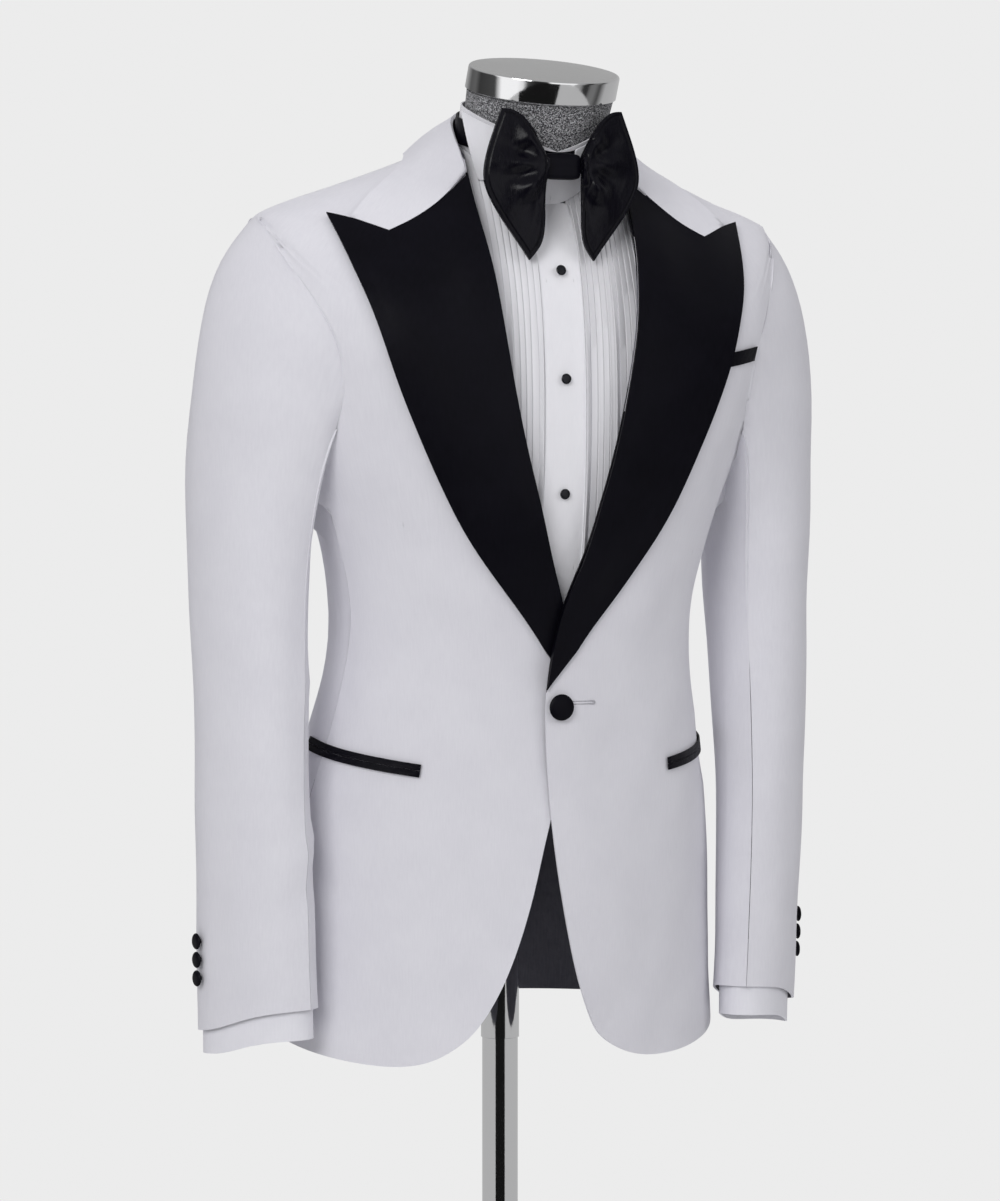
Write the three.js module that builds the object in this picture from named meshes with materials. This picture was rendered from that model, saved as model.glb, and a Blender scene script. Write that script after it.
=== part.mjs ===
// A white evening jacket with black satin lapels, over a tucked shirt with a wing collar and a black bow tie,
// buttoned on a limbless dress form that stands on a pole and a round base.
// Millimetres, Z up. The wearer faces -Y and the wearer's left is +X. The pole's axis is x = y = 0, the floor z = 0.
// Every panel lies on one figure, given by an angle round the body (0 at the centre front, 90 at the left side,
// 180 at the centre back) and a "way" up it: the height up to the chest, then the distance on over the shoulder.
import * as THREE from "three";

// Driving dimensions
const COAT = 2; // thickness of the jacket's cloth
const SHIRT = 1.2; // thickness of the shirt's cloth
const SEAM = 0.3; // gap where two pieces are sewn together
const REST = 0.35; // gap between a piece and what it lies on
const SHIRT_INSET = 9; // from the jacket's face to the shirt's face
const FORM_INSET = 22; // from the jacket's face to the dress form
const SHOULDER_SHARE = -0.08; // share of an inset by which the shoulders drop, so that the layers rest there
const TURNED_GAP = 2; // gap under the lapels' outer part, which stands off the front
const LEAF_GAP = 2.5; // gap under the collar's leaf
const ROLL_GAP = 1.2; // gap under the lapels near their roll
const ARMPIT_WAY = 1138;
const SHOULDER_WAY = 1382;
const NECK_WAY = 1543;
const ARMHOLE_FRONT = 35; // degrees that the armhole reaches forward from the side
const ARMHOLE_BACK = 30;
const FRONT_SEAM = 76; // angle of the seam between front and side panel
const BACK_SEAM = 114; // angle of the seam between side and back panel
const SIDE_SEAM = 90; // where the shirt's front meets its back, and the shoulder seam's angle
const SIDES = [
  { name: "left", sign: 1 },
  { name: "right", sign: -1 },
];

// Small helpers
const V = (x, y, z) => new THREE.Vector3(x, y, z);
const mix = (a, b, t) => a + (b - a) * t;
const clamp01 = (t) => Math.min(1, Math.max(0, t));
const smooth = (from, to, at) => {
  const t = clamp01((at - from) / (to - from));
  return t * t * (3 - 2 * t);
};
const radians = THREE.MathUtils.degToRad;
const range = (count) => Array.from({ length: count + 1 }, (_, i) => i / count);
const flip = (p, sign) => V(p.x * sign, p.y, p.z);

// A table is an object for each row, under named columns.
function table(columns, rows) {
  return rows.map((row) =>
    Object.fromEntries(columns.map((column, i) => [column, row[i]])),
  );
}

// Reads a column of a table at a value of its first column, along a smooth curve through the rows.
function read(rows, key, at, column) {
  const last = rows.length - 1;
  let i = 0;
  while (i < last - 1 && at > rows[i + 1][key]) i++;
  const slope = (k) => {
    const a = rows[Math.max(0, k - 1)],
      b = rows[Math.min(last, k + 1)];
    return (b[column] - a[column]) / (b[key] - a[key]);
  };
  const span = rows[i + 1][key] - rows[i][key];
  const t = clamp01((at - rows[i][key]) / span);
  const s = 1 - t;
  return (
    rows[i][column] * s * s * (1 + 2 * t) +
    rows[i + 1][column] * t * t * (1 + 2 * s) +
    slope(i) * span * t * s * s -
    slope(i + 1) * span * t * t * s
  );
}

// A smooth curve through points, read from 0 to 1 along its length.
const through = (points) =>
  new THREE.CatmullRomCurve3(points, false, "centripetal");

// The figure: half width, front, widest and back depth, the heights of the three, how square the front and back
// halves are (2 is an ellipse), and how sharply a section rises to the ridge of the shoulder.
const FIGURE = table(
  ["way", "wide", "front", "side", "back", "zFront", "zSide", "zBack", "squareF", "squareB", "ridge"],
  [
    [700, 193, -121, 30, 113, 700, 700, 700, 1.62, 2.4, 2],
    [780, 189, -122, 27, 113, 780, 780, 780, 1.62, 2.4, 2],
    [850, 184, -122, 20, 110, 850, 850, 850, 1.68, 2.4, 2],
    [920, 177, -121, 8, 104, 920, 920, 920, 1.8, 2.4, 2],
    [1000, 161, -121, -10, 92, 1000, 1000, 1000, 2, 2.4, 2],
    [1066, 151, -127, -22, 79, 1066, 1066, 1066, 2.2, 2.4, 2],
    [1120, 162, -136, -23, 84, 1120, 1120, 1120, 2.4, 2.5, 2],
    [1150, 171, -140, -23, 90, 1149, 1150, 1150, 2.6, 2.6, 2],
    [1200, 189, -143, -23, 97, 1194, 1200, 1202, 3, 3, 2],
    [1260, 207, -144, -24, 100, 1242, 1260, 1264, 3.5, 3.2, 2.5],
    [1320, 220, -142, -27, 95, 1288, 1322, 1328, 3.6, 3, 4],
    [1382, 218, -137, -30, 80, 1327, 1382, 1380, 2.4, 2.4, 6],
    [1417, 187, -134, -33, 66, 1344, 1394, 1402, 2.2, 2.2, 5],
    [1454, 150, -130, -38, 52, 1360, 1407, 1419, 2.1, 2.1, 4],
    [1493, 114, -124, -44, 37, 1378, 1420, 1431, 2, 2, 3],
    [1520, 90, -118, -50, 24, 1390, 1430, 1441, 2, 2, 2.5],
    [1543, 69, -110, -55, 12, 1400, 1438, 1448, 2, 2, 2],
  ],
);

// A point of the figure, drawn in by an inset for the layers under the jacket.
function figure(angle, way, inset = 0) {
  const f = (column) => read(FIGURE, "way", way, column);
  const s = Math.sin(radians(angle));
  const front = Math.abs(angle) < 90;
  const low = inset * mix(1, SHOULDER_SHARE, s ** 6) * smooth(1240, SHOULDER_WAY, way);
  const side = f("side");
  const reach = front ? side - f("front") : f("back") - side;
  const square = f(front ? "squareF" : "squareB");
  const deep = Math.sqrt(Math.max(0, 1 - Math.abs(s) ** square));
  const zEdge = f(front ? "zFront" : "zBack");
  const rise = (f("zSide") - zEdge) * Math.abs(s) ** f("ridge");
  return V(
    (f("wide") - inset) * s,
    side + (front ? -1 : 1) * deep * (reach - inset),
    zEdge + rise - low,
  );
}

function figureNormal(angle, way, inset = 0) {
  const step = 0.5;
  const round = figure(angle + step, way, inset).sub(figure(angle - step, way, inset));
  const up = figure(angle, Math.min(NECK_WAY, way + step), inset);
  up.sub(figure(angle, Math.min(NECK_WAY, way + step) - 2 * step, inset));
  return round.cross(up).normalize();
}

// A point on the figure moved out along its normal.
function onFigure(angle, way, out = 0, inset = 0) {
  return figure(angle, way, inset).addScaledVector(figureNormal(angle, way, inset), out);
}

// The angle and way of the point of the figure's front that has a given x and z.
function locate(x, z, inset = 0) {
  const angleAt = (way) => {
    const wide = read(FIGURE, "way", way, "wide") - inset;
    return THREE.MathUtils.radToDeg(Math.asin(Math.min(1, Math.max(-1, x / wide))));
  };
  let low = FIGURE[0].way,
    high = NECK_WAY;
  for (let i = 0; i < 40; i++) {
    const way = (low + high) / 2;
    if (figure(angleAt(way), way, inset).z < z) low = way;
    else high = way;
  }
  return { angle: angleAt((low + high) / 2), way: (low + high) / 2 };
}

// A patch between four edges that share their corners, each a function of 0 to 1 giving {angle, way}.
function patch(left, right, bottom, top, us, ws) {
  const blend = (key, u, w) => {
    const corner = (edge, end) => edge(end)[key];
    return (
      mix(left(w)[key], right(w)[key], u) +
      mix(bottom(u)[key], top(u)[key], w) -
      mix(
        mix(corner(bottom, 0), corner(bottom, 1), u),
        mix(corner(top, 0), corner(top, 1), u),
        w,
      )
    );
  };
  return ws.map((w) =>
    us.map((u) => ({ angle: blend("angle", u, w), way: blend("way", u, w) })),
  );
}

// An edge that runs through sampled points at equal shares of 0 to 1.
function sampled(points) {
  return (t) => {
    const at = t * (points.length - 1);
    const i = Math.min(points.length - 2, Math.floor(at));
    const part = at - i;
    return {
      angle: mix(points[i].angle, points[i + 1].angle, part),
      way: mix(points[i].way, points[i + 1].way, part),
    };
  };
}

// Draws the open edges of a pair of grids in, so that neighbouring pieces keep a gap at their seam.
function drawIn(outer, inner, gap, closed) {
  const rows = outer.length,
    columns = outer[0].length;
  const moves = outer.map((row, i) =>
    row.map((p, j) => {
      const move = V(0, 0, 0);
      if (i === 0) move.add(outer[1][j].clone().sub(p).setLength(gap));
      if (i === rows - 1) move.add(outer[rows - 2][j].clone().sub(p).setLength(gap));
      if (!closed && j === 0) move.add(row[1].clone().sub(p).setLength(gap));
      if (!closed && j === columns - 1) move.add(row[columns - 2].clone().sub(p).setLength(gap));
      return move;
    }),
  );
  moves.forEach((row, i) =>
    row.forEach((move, j) => {
      outer[i][j].add(move);
      inner[i][j].add(move);
    }),
  );
}

// Turns a geometry round if its faces point inwards.
function facingOut(positions) {
  let volume = 0;
  for (let i = 0; i < positions.length; i += 3)
    volume += positions[i].dot(positions[i + 1].clone().cross(positions[i + 2]));
  if (volume < 0)
    for (let i = 0; i < positions.length; i += 3)
      [positions[i + 1], positions[i + 2]] = [positions[i + 2], positions[i + 1]];
  return new THREE.BufferGeometry().setFromPoints(positions);
}

// A cloth wall between an outer and an inner grid of points; closed joins its last column to its first.
function wall(outer, inner, { gap = SEAM / 2, closed = false } = {}) {
  drawIn(outer, inner, gap, closed);
  const points = [];
  const quad = (a, b, c, d) => points.push(a, b, c, a, c, d);
  const rows = outer.length,
    columns = outer[0].length;
  const across = closed ? columns : columns - 1;
  for (let i = 0; i < rows - 1; i++)
    for (let j = 0; j < across; j++) {
      const k = (j + 1) % columns;
      quad(outer[i][j], outer[i][k], outer[i + 1][k], outer[i + 1][j]);
      quad(inner[i][j], inner[i + 1][j], inner[i + 1][k], inner[i][k]);
    }
  for (let j = 0; j < across; j++) {
    const k = (j + 1) % columns;
    quad(outer[0][j], inner[0][j], inner[0][k], outer[0][k]);
    quad(outer[rows - 1][j], outer[rows - 1][k], inner[rows - 1][k], inner[rows - 1][j]);
  }
  if (!closed)
    for (let i = 0; i < rows - 1; i++) {
      const last = columns - 1;
      quad(outer[i][0], outer[i + 1][0], inner[i + 1][0], inner[i][0]);
      quad(outer[i][last], inner[i][last], inner[i + 1][last], outer[i + 1][last]);
    }
  return facingOut(points);
}

// A closed solid through stacked rings of points, with a flat or pointed end at each.
function loft(rings) {
  const points = [];
  const count = rings[0].length;
  const middle = (ring) =>
    ring.reduce((sum, p) => sum.add(p), V(0, 0, 0)).divideScalar(ring.length);
  rings.slice(1).forEach((ring, i) => {
    for (let j = 0; j < count; j++) {
      const k = (j + 1) % count;
      points.push(rings[i][j], rings[i][k], ring[k], rings[i][j], ring[k], ring[j]);
    }
  });
  const first = middle(rings[0]),
    last = middle(rings[rings.length - 1]);
  for (let j = 0; j < count; j++) {
    const k = (j + 1) % count;
    points.push(first, rings[0][k], rings[0][j]);
    points.push(last, rings[rings.length - 1][j], rings[rings.length - 1][k]);
  }
  return facingOut(points);
}

// Normals of a grid of points, from its own rows and columns.
function gridNormals(grid, closed = false) {
  const rows = grid.length,
    columns = grid[0].length;
  return grid.map((row, i) =>
    row.map((_, j) => {
      const left = closed ? (j - 1 + columns) % columns : Math.max(0, j - 1);
      const right = closed ? (j + 1) % columns : Math.min(columns - 1, j + 1);
      const across = row[right].clone().sub(row[left]);
      const up = grid[Math.min(rows - 1, i + 1)][j].clone();
      up.sub(grid[Math.max(0, i - 1)][j]);
      return across.cross(up).normalize();
    }),
  );
}

const moved = (grid, normals, out) =>
  grid.map((row, i) => row.map((p, j) => p.clone().addScaledVector(normals[i][j], out)));

// Materials
const CLOTHS = {
  wool: { color: 0xdedde4, roughness: 0.85 },
  satin: { color: 0x0b0a12, roughness: 0.35 },
  cotton: { color: 0xececf1, roughness: 0.8 },
  heather: { color: 0x6e6e74, roughness: 0.9 },
  chrome: { color: 0xc8c8c8, roughness: 0.12, metalness: 1 },
};
const material = (name) => new THREE.MeshStandardMaterial(CLOTHS[name]);

const tuxedo = new THREE.Group();
function add(name, geometry, finish) {
  const mesh = new THREE.Mesh(geometry, material(finish));
  mesh.name = name;
  tuxedo.add(mesh);
  return mesh;
}

// The armhole, in the figure's angle and way: deepest a little above its middle.
function armholeEdge(rise, ahead) {
  const bulge = Math.sin(Math.PI * rise ** 1.3) ** 0.65;
  return {
    angle: SIDE_SEAM + (ahead ? -ARMHOLE_FRONT : ARMHOLE_BACK) * bulge,
    way: mix(ARMPIT_WAY, SHOULDER_WAY, rise),
  };
}

// The share of the armhole's height at which it crosses an angle low down.
function armholeRise(angle) {
  const ahead = angle < SIDE_SEAM;
  let low = 0,
    high = 0.4;
  for (let i = 0; i < 40; i++) {
    const rise = (low + high) / 2;
    const inside = ahead
      ? armholeEdge(rise, ahead).angle > angle
      : armholeEdge(rise, ahead).angle < angle;
    if (inside) low = rise;
    else high = rise;
  }
  return low;
}

// Samples along the shoulder seam that the front and the back share, from the shoulder up to the neck.
const SHOULDER_STEPS = 7;
const SHOULDER_SEAM = range(SHOULDER_STEPS)
  .slice(1)
  .map((t) => ({ angle: SIDE_SEAM, way: mix(SHOULDER_WAY, NECK_WAY, t) }));

// Samples round the armhole that every piece sewn to it shares.
const ARMHOLE_STEPS = 9; // from the shoulder to a side seam
const UNDERARM_STEPS = 4; // from a side seam to the armpit
function armholeRun(seamAngle) {
  const ahead = seamAngle < SIDE_SEAM;
  const low = armholeRise(seamAngle);
  const upper = range(ARMHOLE_STEPS).map((t) =>
    armholeEdge(mix(1, low, (1 - Math.cos(Math.PI * t ** 0.9)) / 2), ahead),
  );
  const under = range(UNDERARM_STEPS).map((t) => armholeEdge(low * (1 - t) ** 1.54, ahead));
  return { upper, under };
}
const ARMHOLE = { front: armholeRun(FRONT_SEAM), back: armholeRun(BACK_SEAM) };

// The front edge below the button, as x on its own side of the centre, for each front.
const FRONT_EDGE = {
  left: table(
    ["z", "x"],
    [
      [738, 38],
      [756, 27],
      [781, 17],
      [816, 9],
      [848, 3],
      [894, -4],
      [933, -8],
      [970, -11],
      [1005, -13],
    ],
  ),
  right: table(
    ["z", "x"],
    [
      [738, 71],
      [745, 65],
      [761, 53],
      [797, 36],
      [842, 22],
      [871, 15],
      [909, 6],
      [950, -6],
      [1005, -13],
    ],
  ),
};

// The roll line of the lapel, the same on both sides.
const ROLL = table(
  ["z", "x"],
  [
    [1005, -13],
    [1050, -7],
    [1085, 0],
    [1113, 12],
    [1150, 23],
    [1191, 35],
    [1236, 46],
    [1294, 56],
    [1344, 61],
    [1390, 65],
    [1412, 65],
  ],
);
const ROLL_FOOT = 1013; // height of the lapel's lowest point
const ROLL_HEAD = 1412; // height where the roll line reaches the collar
const LAPEL_EDGE = table(
  ["z", "x"],
  [
    [1014, -6],
    [1040, 9],
    [1072, 33],
    [1113, 66],
    [1150, 90],
    [1191, 110],
    [1230, 128],
    [1276, 145],
    [1311, 156],
    [1332, 162],
    [1353, 167],
    [1380, 173],
  ],
);
const NOTCH = { x: 132, z: 1366 };
const COLLAR_CORNER = { x: 157, z: 1376 };
const PEAK = { x: 173, z: 1380 };

const rollX = (z) => read(ROLL, "z", z, "x");
const spot = (x, z) => locate(x, z);

// How far a front stands off the figure: it swells at the lapel's roll, and the left front laps over the right.
const BELLY = 5;
const BELLY_WIDE = 30;
function standOff(p, sign) {
  const beside = (p.x * sign - rollX(p.z)) / BELLY_WIDE;
  const tall = smooth(1040, 1130, p.z) * (1 - smooth(1330, 1400, p.z));
  const lap = mix(1.5, 3.3, smooth(975, 1000, p.z)) * (1 - smooth(1100, 1150, p.z));
  const near = 1 - smooth(20, 52, Math.abs(p.x));
  return BELLY * tall * Math.exp(-beside * beside) + sign * lap * near;
}

// A point of a front, given by the figure's angle and way on the wearer's left and mirrored by the sign.
function onFront({ angle, way }, sign, out) {
  const base = flip(figure(angle, way), sign);
  return flip(onFigure(angle, way, out + standOff(base, sign)), sign);
}

// A front's or a back's long outer edge: up the side seam, round the armhole and along the shoulder seam.
const SEAM_ROWS = 9;
const PANEL_ROWS = SEAM_ROWS + ARMHOLE_STEPS + SHOULDER_STEPS;
function outerEdge(seamAngle, hem, armhole) {
  const seam = range(SEAM_ROWS).map((t) => ({
    angle: seamAngle,
    way: mix(hem, armhole.upper[ARMHOLE_STEPS].way, t),
  }));
  return sampled([...seam, ...armhole.upper.slice(0, -1).reverse(), ...SHOULDER_SEAM]);
}

// Front panels: from the front edge and the roll line to the side seam, the armhole and the shoulder.
const FRONT_COLUMNS = 8;
const FRONT_NECK = 64; // angle where the roll line meets the neck edge
const HEM_FRONT = table(
  ["share", "z"],
  [
    [0, 738],
    [0.1, 725],
    [0.22, 718.5],
    [0.4, 718],
    [0.7, 724],
    [1, 733],
  ],
);
const EDGE_HEIGHTS = table(
  ["row", "z"],
  [
    [0, 738],
    [1, 752],
    [2, 778],
    [5, 905],
    [8, 1045],
    [11, 1160],
    [14, 1260],
    [18, 1350],
    [21, 1388],
    [24, 1412],
  ],
);

function frontPanel({ name, sign }) {
  const edgeRows = FRONT_EDGE[name];
  const edge = range(PANEL_ROWS - 1).map((_, row) => {
    const z = read(EDGE_HEIGHTS, "row", row, "z");
    return spot(z < ROLL[0].z ? read(edgeRows, "z", z, "x") : rollX(z), z);
  });
  edge.push({ angle: FRONT_NECK, way: NECK_WAY });
  const left = sampled(edge);
  const right = outerEdge(FRONT_SEAM, 733, ARMHOLE.front);
  const bottom = (u) => ({
    angle: mix(left(0).angle, right(0).angle, u),
    way: read(HEM_FRONT, "share", u, "z"),
  });
  const top = (u) => ({ angle: mix(FRONT_NECK, SIDE_SEAM, u), way: NECK_WAY });
  const grid = patch(left, right, bottom, top, range(FRONT_COLUMNS), range(PANEL_ROWS));
  const at = (out) => grid.map((row) => row.map((g) => onFront(g, sign, out)));
  add("jacket_front_" + name, wall(at(0), at(-COAT)), "wool");
}

// Side panels: from the front's seam to the back's seam, up to the underarm.
function sidePanel({ name, sign }) {
  const top = [
    ...ARMHOLE.front.under,
    ...ARMHOLE.back.under.slice(0, -1).reverse(),
  ];
  const hem = (t) => mix(733, 743, t);
  const grid = range(SEAM_ROWS).map((w) =>
    top.map((t, j) => {
      const share = j / (top.length - 1);
      const angle = mix(mix(FRONT_SEAM, BACK_SEAM, share), t.angle, w);
      return { angle, way: mix(hem(share), t.way, w) };
    }),
  );
  const at = (out) => grid.map((row) => row.map((g) => flip(onFigure(g.angle, g.way, out), sign)));
  add("jacket_side_" + name, wall(at(0), at(-COAT)), "wool");
}

// Back panels: from the side panel's seam, the armhole and the shoulder to the centre back seam.
const BACK_COLUMNS = 6;
const BACK_HEM = 750;
const BACK_SHOULDER_WAY = 1425; // way up the centre back that lies level with the shoulder point
function backPanel({ name, sign }) {
  const left = outerEdge(BACK_SEAM, 743, ARMHOLE.back);
  const shoulderRow = (SEAM_ROWS + ARMHOLE_STEPS) / PANEL_ROWS;
  const right = (w) => ({
    angle: 180,
    way:
      w < shoulderRow
        ? mix(BACK_HEM, BACK_SHOULDER_WAY, w / shoulderRow)
        : mix(BACK_SHOULDER_WAY, NECK_WAY, (w - shoulderRow) / (1 - shoulderRow)),
  });
  const bottom = (u) => ({ angle: mix(BACK_SEAM, 180, u), way: mix(743, BACK_HEM, u) });
  const top = (u) => ({ angle: mix(SIDE_SEAM, 180, u), way: NECK_WAY });
  const grid = patch(left, right, bottom, top, range(BACK_COLUMNS), range(PANEL_ROWS));
  const at = (out) => grid.map((row) => row.map((g) => flip(onFigure(g.angle, g.way, out), sign)));
  add("jacket_back_" + name, wall(at(0), at(-COAT)), "wool");
}

// Lapels: on the front, from the roll line to the outer edge, up to the gorge seam, the notch and the peak.
const GORGE_STEPS = 4;
const NOTCH_STEPS = 2;
const LAPEL_ROWS = 15;
const gorge = [
  ...range(GORGE_STEPS).map((t) => ({
    x: mix(rollX(ROLL_HEAD), NOTCH.x, t),
    z: mix(ROLL_HEAD, NOTCH.z, t) - 5 * Math.sin(Math.PI * t),
  })),
  ...range(NOTCH_STEPS)
    .slice(1)
    .map((t) => ({ x: mix(NOTCH.x, COLLAR_CORNER.x, t), z: mix(NOTCH.z, COLLAR_CORNER.z, t) })),
];

function lapel({ name, sign }) {
  const top = [...gorge, PEAK];
  const columns = top.length - 1;
  const plane = (p) => ({ angle: p.x, way: p.z });
  const topEdge = sampled(top.map(plane));
  const height = (w, head) => mix(ROLL_FOOT, head, w ** 0.9);
  const left = (w) => ({ angle: rollX(height(w, ROLL_HEAD)), way: height(w, ROLL_HEAD) });
  const right = (w) => {
    const z = height(w, PEAK.z);
    return { angle: read(LAPEL_EDGE, "z", z, "x"), way: z };
  };
  const bottom = (u) => ({ angle: mix(left(0).angle, right(0).angle, u), way: ROLL_FOOT });
  const grid = patch(left, right, bottom, topEdge, range(columns), range(LAPEL_ROWS));
  const at = (out) =>
    grid.map((row) =>
      row.map((p) => {
        const gap = mix(ROLL_GAP, TURNED_GAP, smooth(60, 90, p.angle));
        return onFront(spot(p.angle, p.way), sign, gap + out);
      }),
    );
  add("lapel_" + name, wall(at(COAT), at(0)), "satin");
}

// The collar: a stand round the neck, a fold and a leaf that falls to the lapels' gorge seams.
const FOLD = [
  V(0, -8, 1471),
  V(28, -13, 1470),
  V(49, -27, 1465),
  V(62.5, -48, 1457),
  V(67.5, -68, 1446),
  V(69, -86, 1431),
  V(68, -97, 1416),
];
const LEAF_EDGE = [
  { angle: 180, way: 1500 },
  { angle: 152, way: 1504 },
  { angle: 122, way: 1508 },
  { angle: 98, way: 1514 },
  locate(113, 1414),
  locate(138, 1396),
  locate(COLLAR_CORNER.x, COLLAR_CORNER.z),
];
function collar() {
  const half = 8;
  const leafSteps = GORGE_STEPS + NOTCH_STEPS;
  const fold = through(FOLD);
  const edge = through(LEAF_EDGE.map((e) => onFront(e, 1, LEAF_GAP + COAT)));
  const seam = gorge.map((g) => onFront(locate(g.x, g.z), 1, LEAF_GAP + COAT));
  const lengths = seam.map((p, i) => (i ? p.distanceTo(seam[i - 1]) : 0));
  const whole = lengths.reduce((sum, l) => sum + l, 0);
  let run = 0;
  const shares = lengths.map((l) => (run += l) / whole);
  const outer = [],
    inner = [];
  for (let i = -half; i <= half; i++) {
    const q = Math.abs(i) / half;
    const sign = i < 0 ? -1 : 1;
    const f = fold.getPoint(q),
      e = edge.getPoint(q);
    const fEnd = fold.getPoint(1),
      eEnd = edge.getPoint(1);
    const pull = smooth(0.5, 1, q);
    const leaf = shares.map((t, j) => {
      const p = f.clone().lerp(e, t);
      p.z += 3 * Math.sin(Math.PI * t) * (1 - pull);
      const shift = seam[j].clone().sub(fEnd.clone().lerp(eEnd, t));
      return p.addScaledVector(shift, pull);
    });
    leaf.shift();
    const neck = figure(mix(180, 66, q), NECK_WAY);
    const foot = neck.clone().add(V(0, 0, mix(1.2, 3, smooth(0.6, 0.8, q))));
    const level = V(f.x, f.y, 0).sub(V(0, -55, 0)).normalize();
    const top = f.clone().add(V(0, 0, 1.2));
    const shoulder = f.clone().addScaledVector(level, 2.4).add(V(0, 0, -0.8));
    const neckside = f.clone().addScaledVector(level, -2.2).add(V(0, 0, -0.8));
    const stand = foot.clone().lerp(neckside, 0.5);
    const row = [foot, stand, neckside, top, shoulder, ...leaf];
    outer.push(row.map((p) => flip(p, sign)));
    const under = [
      foot.clone().addScaledVector(level, COAT),
      stand.clone().addScaledVector(level, COAT),
      f.clone().addScaledVector(level, -0.5).add(V(0, 0, -2)),
      f.clone().add(V(0, 0, -1.2)),
      f.clone().addScaledVector(level, 0.6).add(V(0, 0, -2)),
    ];
    inner.push([...under.map((p) => flip(p, sign)), ...leaf.map(() => null)]);
  }
  const normals = gridNormals(outer);
  const facing = normals[half][leafSteps + 3].z > 0 ? 1 : -1;
  inner.forEach((row, i) =>
    row.forEach((p, j) => {
      if (!p) row[j] = outer[i][j].clone().addScaledVector(normals[i][j], -COAT * facing);
    }),
  );
  add("jacket_collar", wall(outer, inner), "wool");
}

// Sleeves: sections up to the upper arm, then each column runs on to its own point of the armhole.
const SLEEVE = table(
  ["z", "x", "y", "long", "short", "turn"],
  [
    [720, 215.5, -24, 55, 31, 52],
    [755, 215.5, -24, 55, 31.5, 52],
    [840, 218, -26, 54, 33, 56],
    [920, 220, -26, 53, 36, 62],
    [1000, 220, -22, 55, 39, 72],
    [1090, 219, -16, 60, 42, 80],
    [1140, 219, -14, 62, 44, 82],
  ],
);
const SLEEVE_HEM = 755;
const SLEEVE_HEM_TILT = 11;
const UPPER_ARM = 1085;
const SLEEVE_ROWS = 6;
const CAP_ROWS = 5;
const CAP_FULL = 26; // how full the sleeve's head rises past the shoulder
const FOREARM_SEAM = 0.36; // shares of the way round, from the outside over the front
const HINDARM_SEAM = 0.8;

// A point of a sleeve's section in the direction that a share of the way round names.
function sleevePoint(share, z, inset = 0) {
  const s = (column) => read(SLEEVE, "z", z, column);
  const turn = radians(s("turn"));
  const long = V(-Math.cos(turn), -Math.sin(turn), 0),
    short = V(Math.sin(turn), -Math.cos(turn), 0);
  const way = V(Math.cos(2 * Math.PI * share), -Math.sin(2 * Math.PI * share), 0);
  const reach = Math.hypot(
    way.dot(long) / (s("long") - inset),
    way.dot(short) / (s("short") - inset),
  );
  return V(s("x"), s("y"), z).addScaledVector(way, 1 / reach);
}

const hemTilt = (share, z) => {
  const turn = radians(read(SLEEVE, "z", z, "turn"));
  const way = V(Math.cos(2 * Math.PI * share), -Math.sin(2 * Math.PI * share), 0);
  return SLEEVE_HEM_TILT * way.dot(V(-Math.cos(turn), -Math.sin(turn), 0));
};

function armholeLoop() {
  const { front, back } = ARMHOLE;
  const loop = [
    ...front.upper,
    ...front.under.slice(1),
    ...back.under.slice(0, -1).reverse(),
    ...back.upper.slice(1, -1).reverse(),
  ];
  const points = loop.map((g) => onFigure(g.angle, g.way));
  const normals = loop.map((g) => figureNormal(g.angle, g.way));
  let run = 0;
  const along = points.map((p, i) => (run += i ? p.distanceTo(points[i - 1]) : 0));
  const total = run + points[0].distanceTo(points[points.length - 1]);
  return { points, normals, shares: along.map((l) => l / total) };
}

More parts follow.
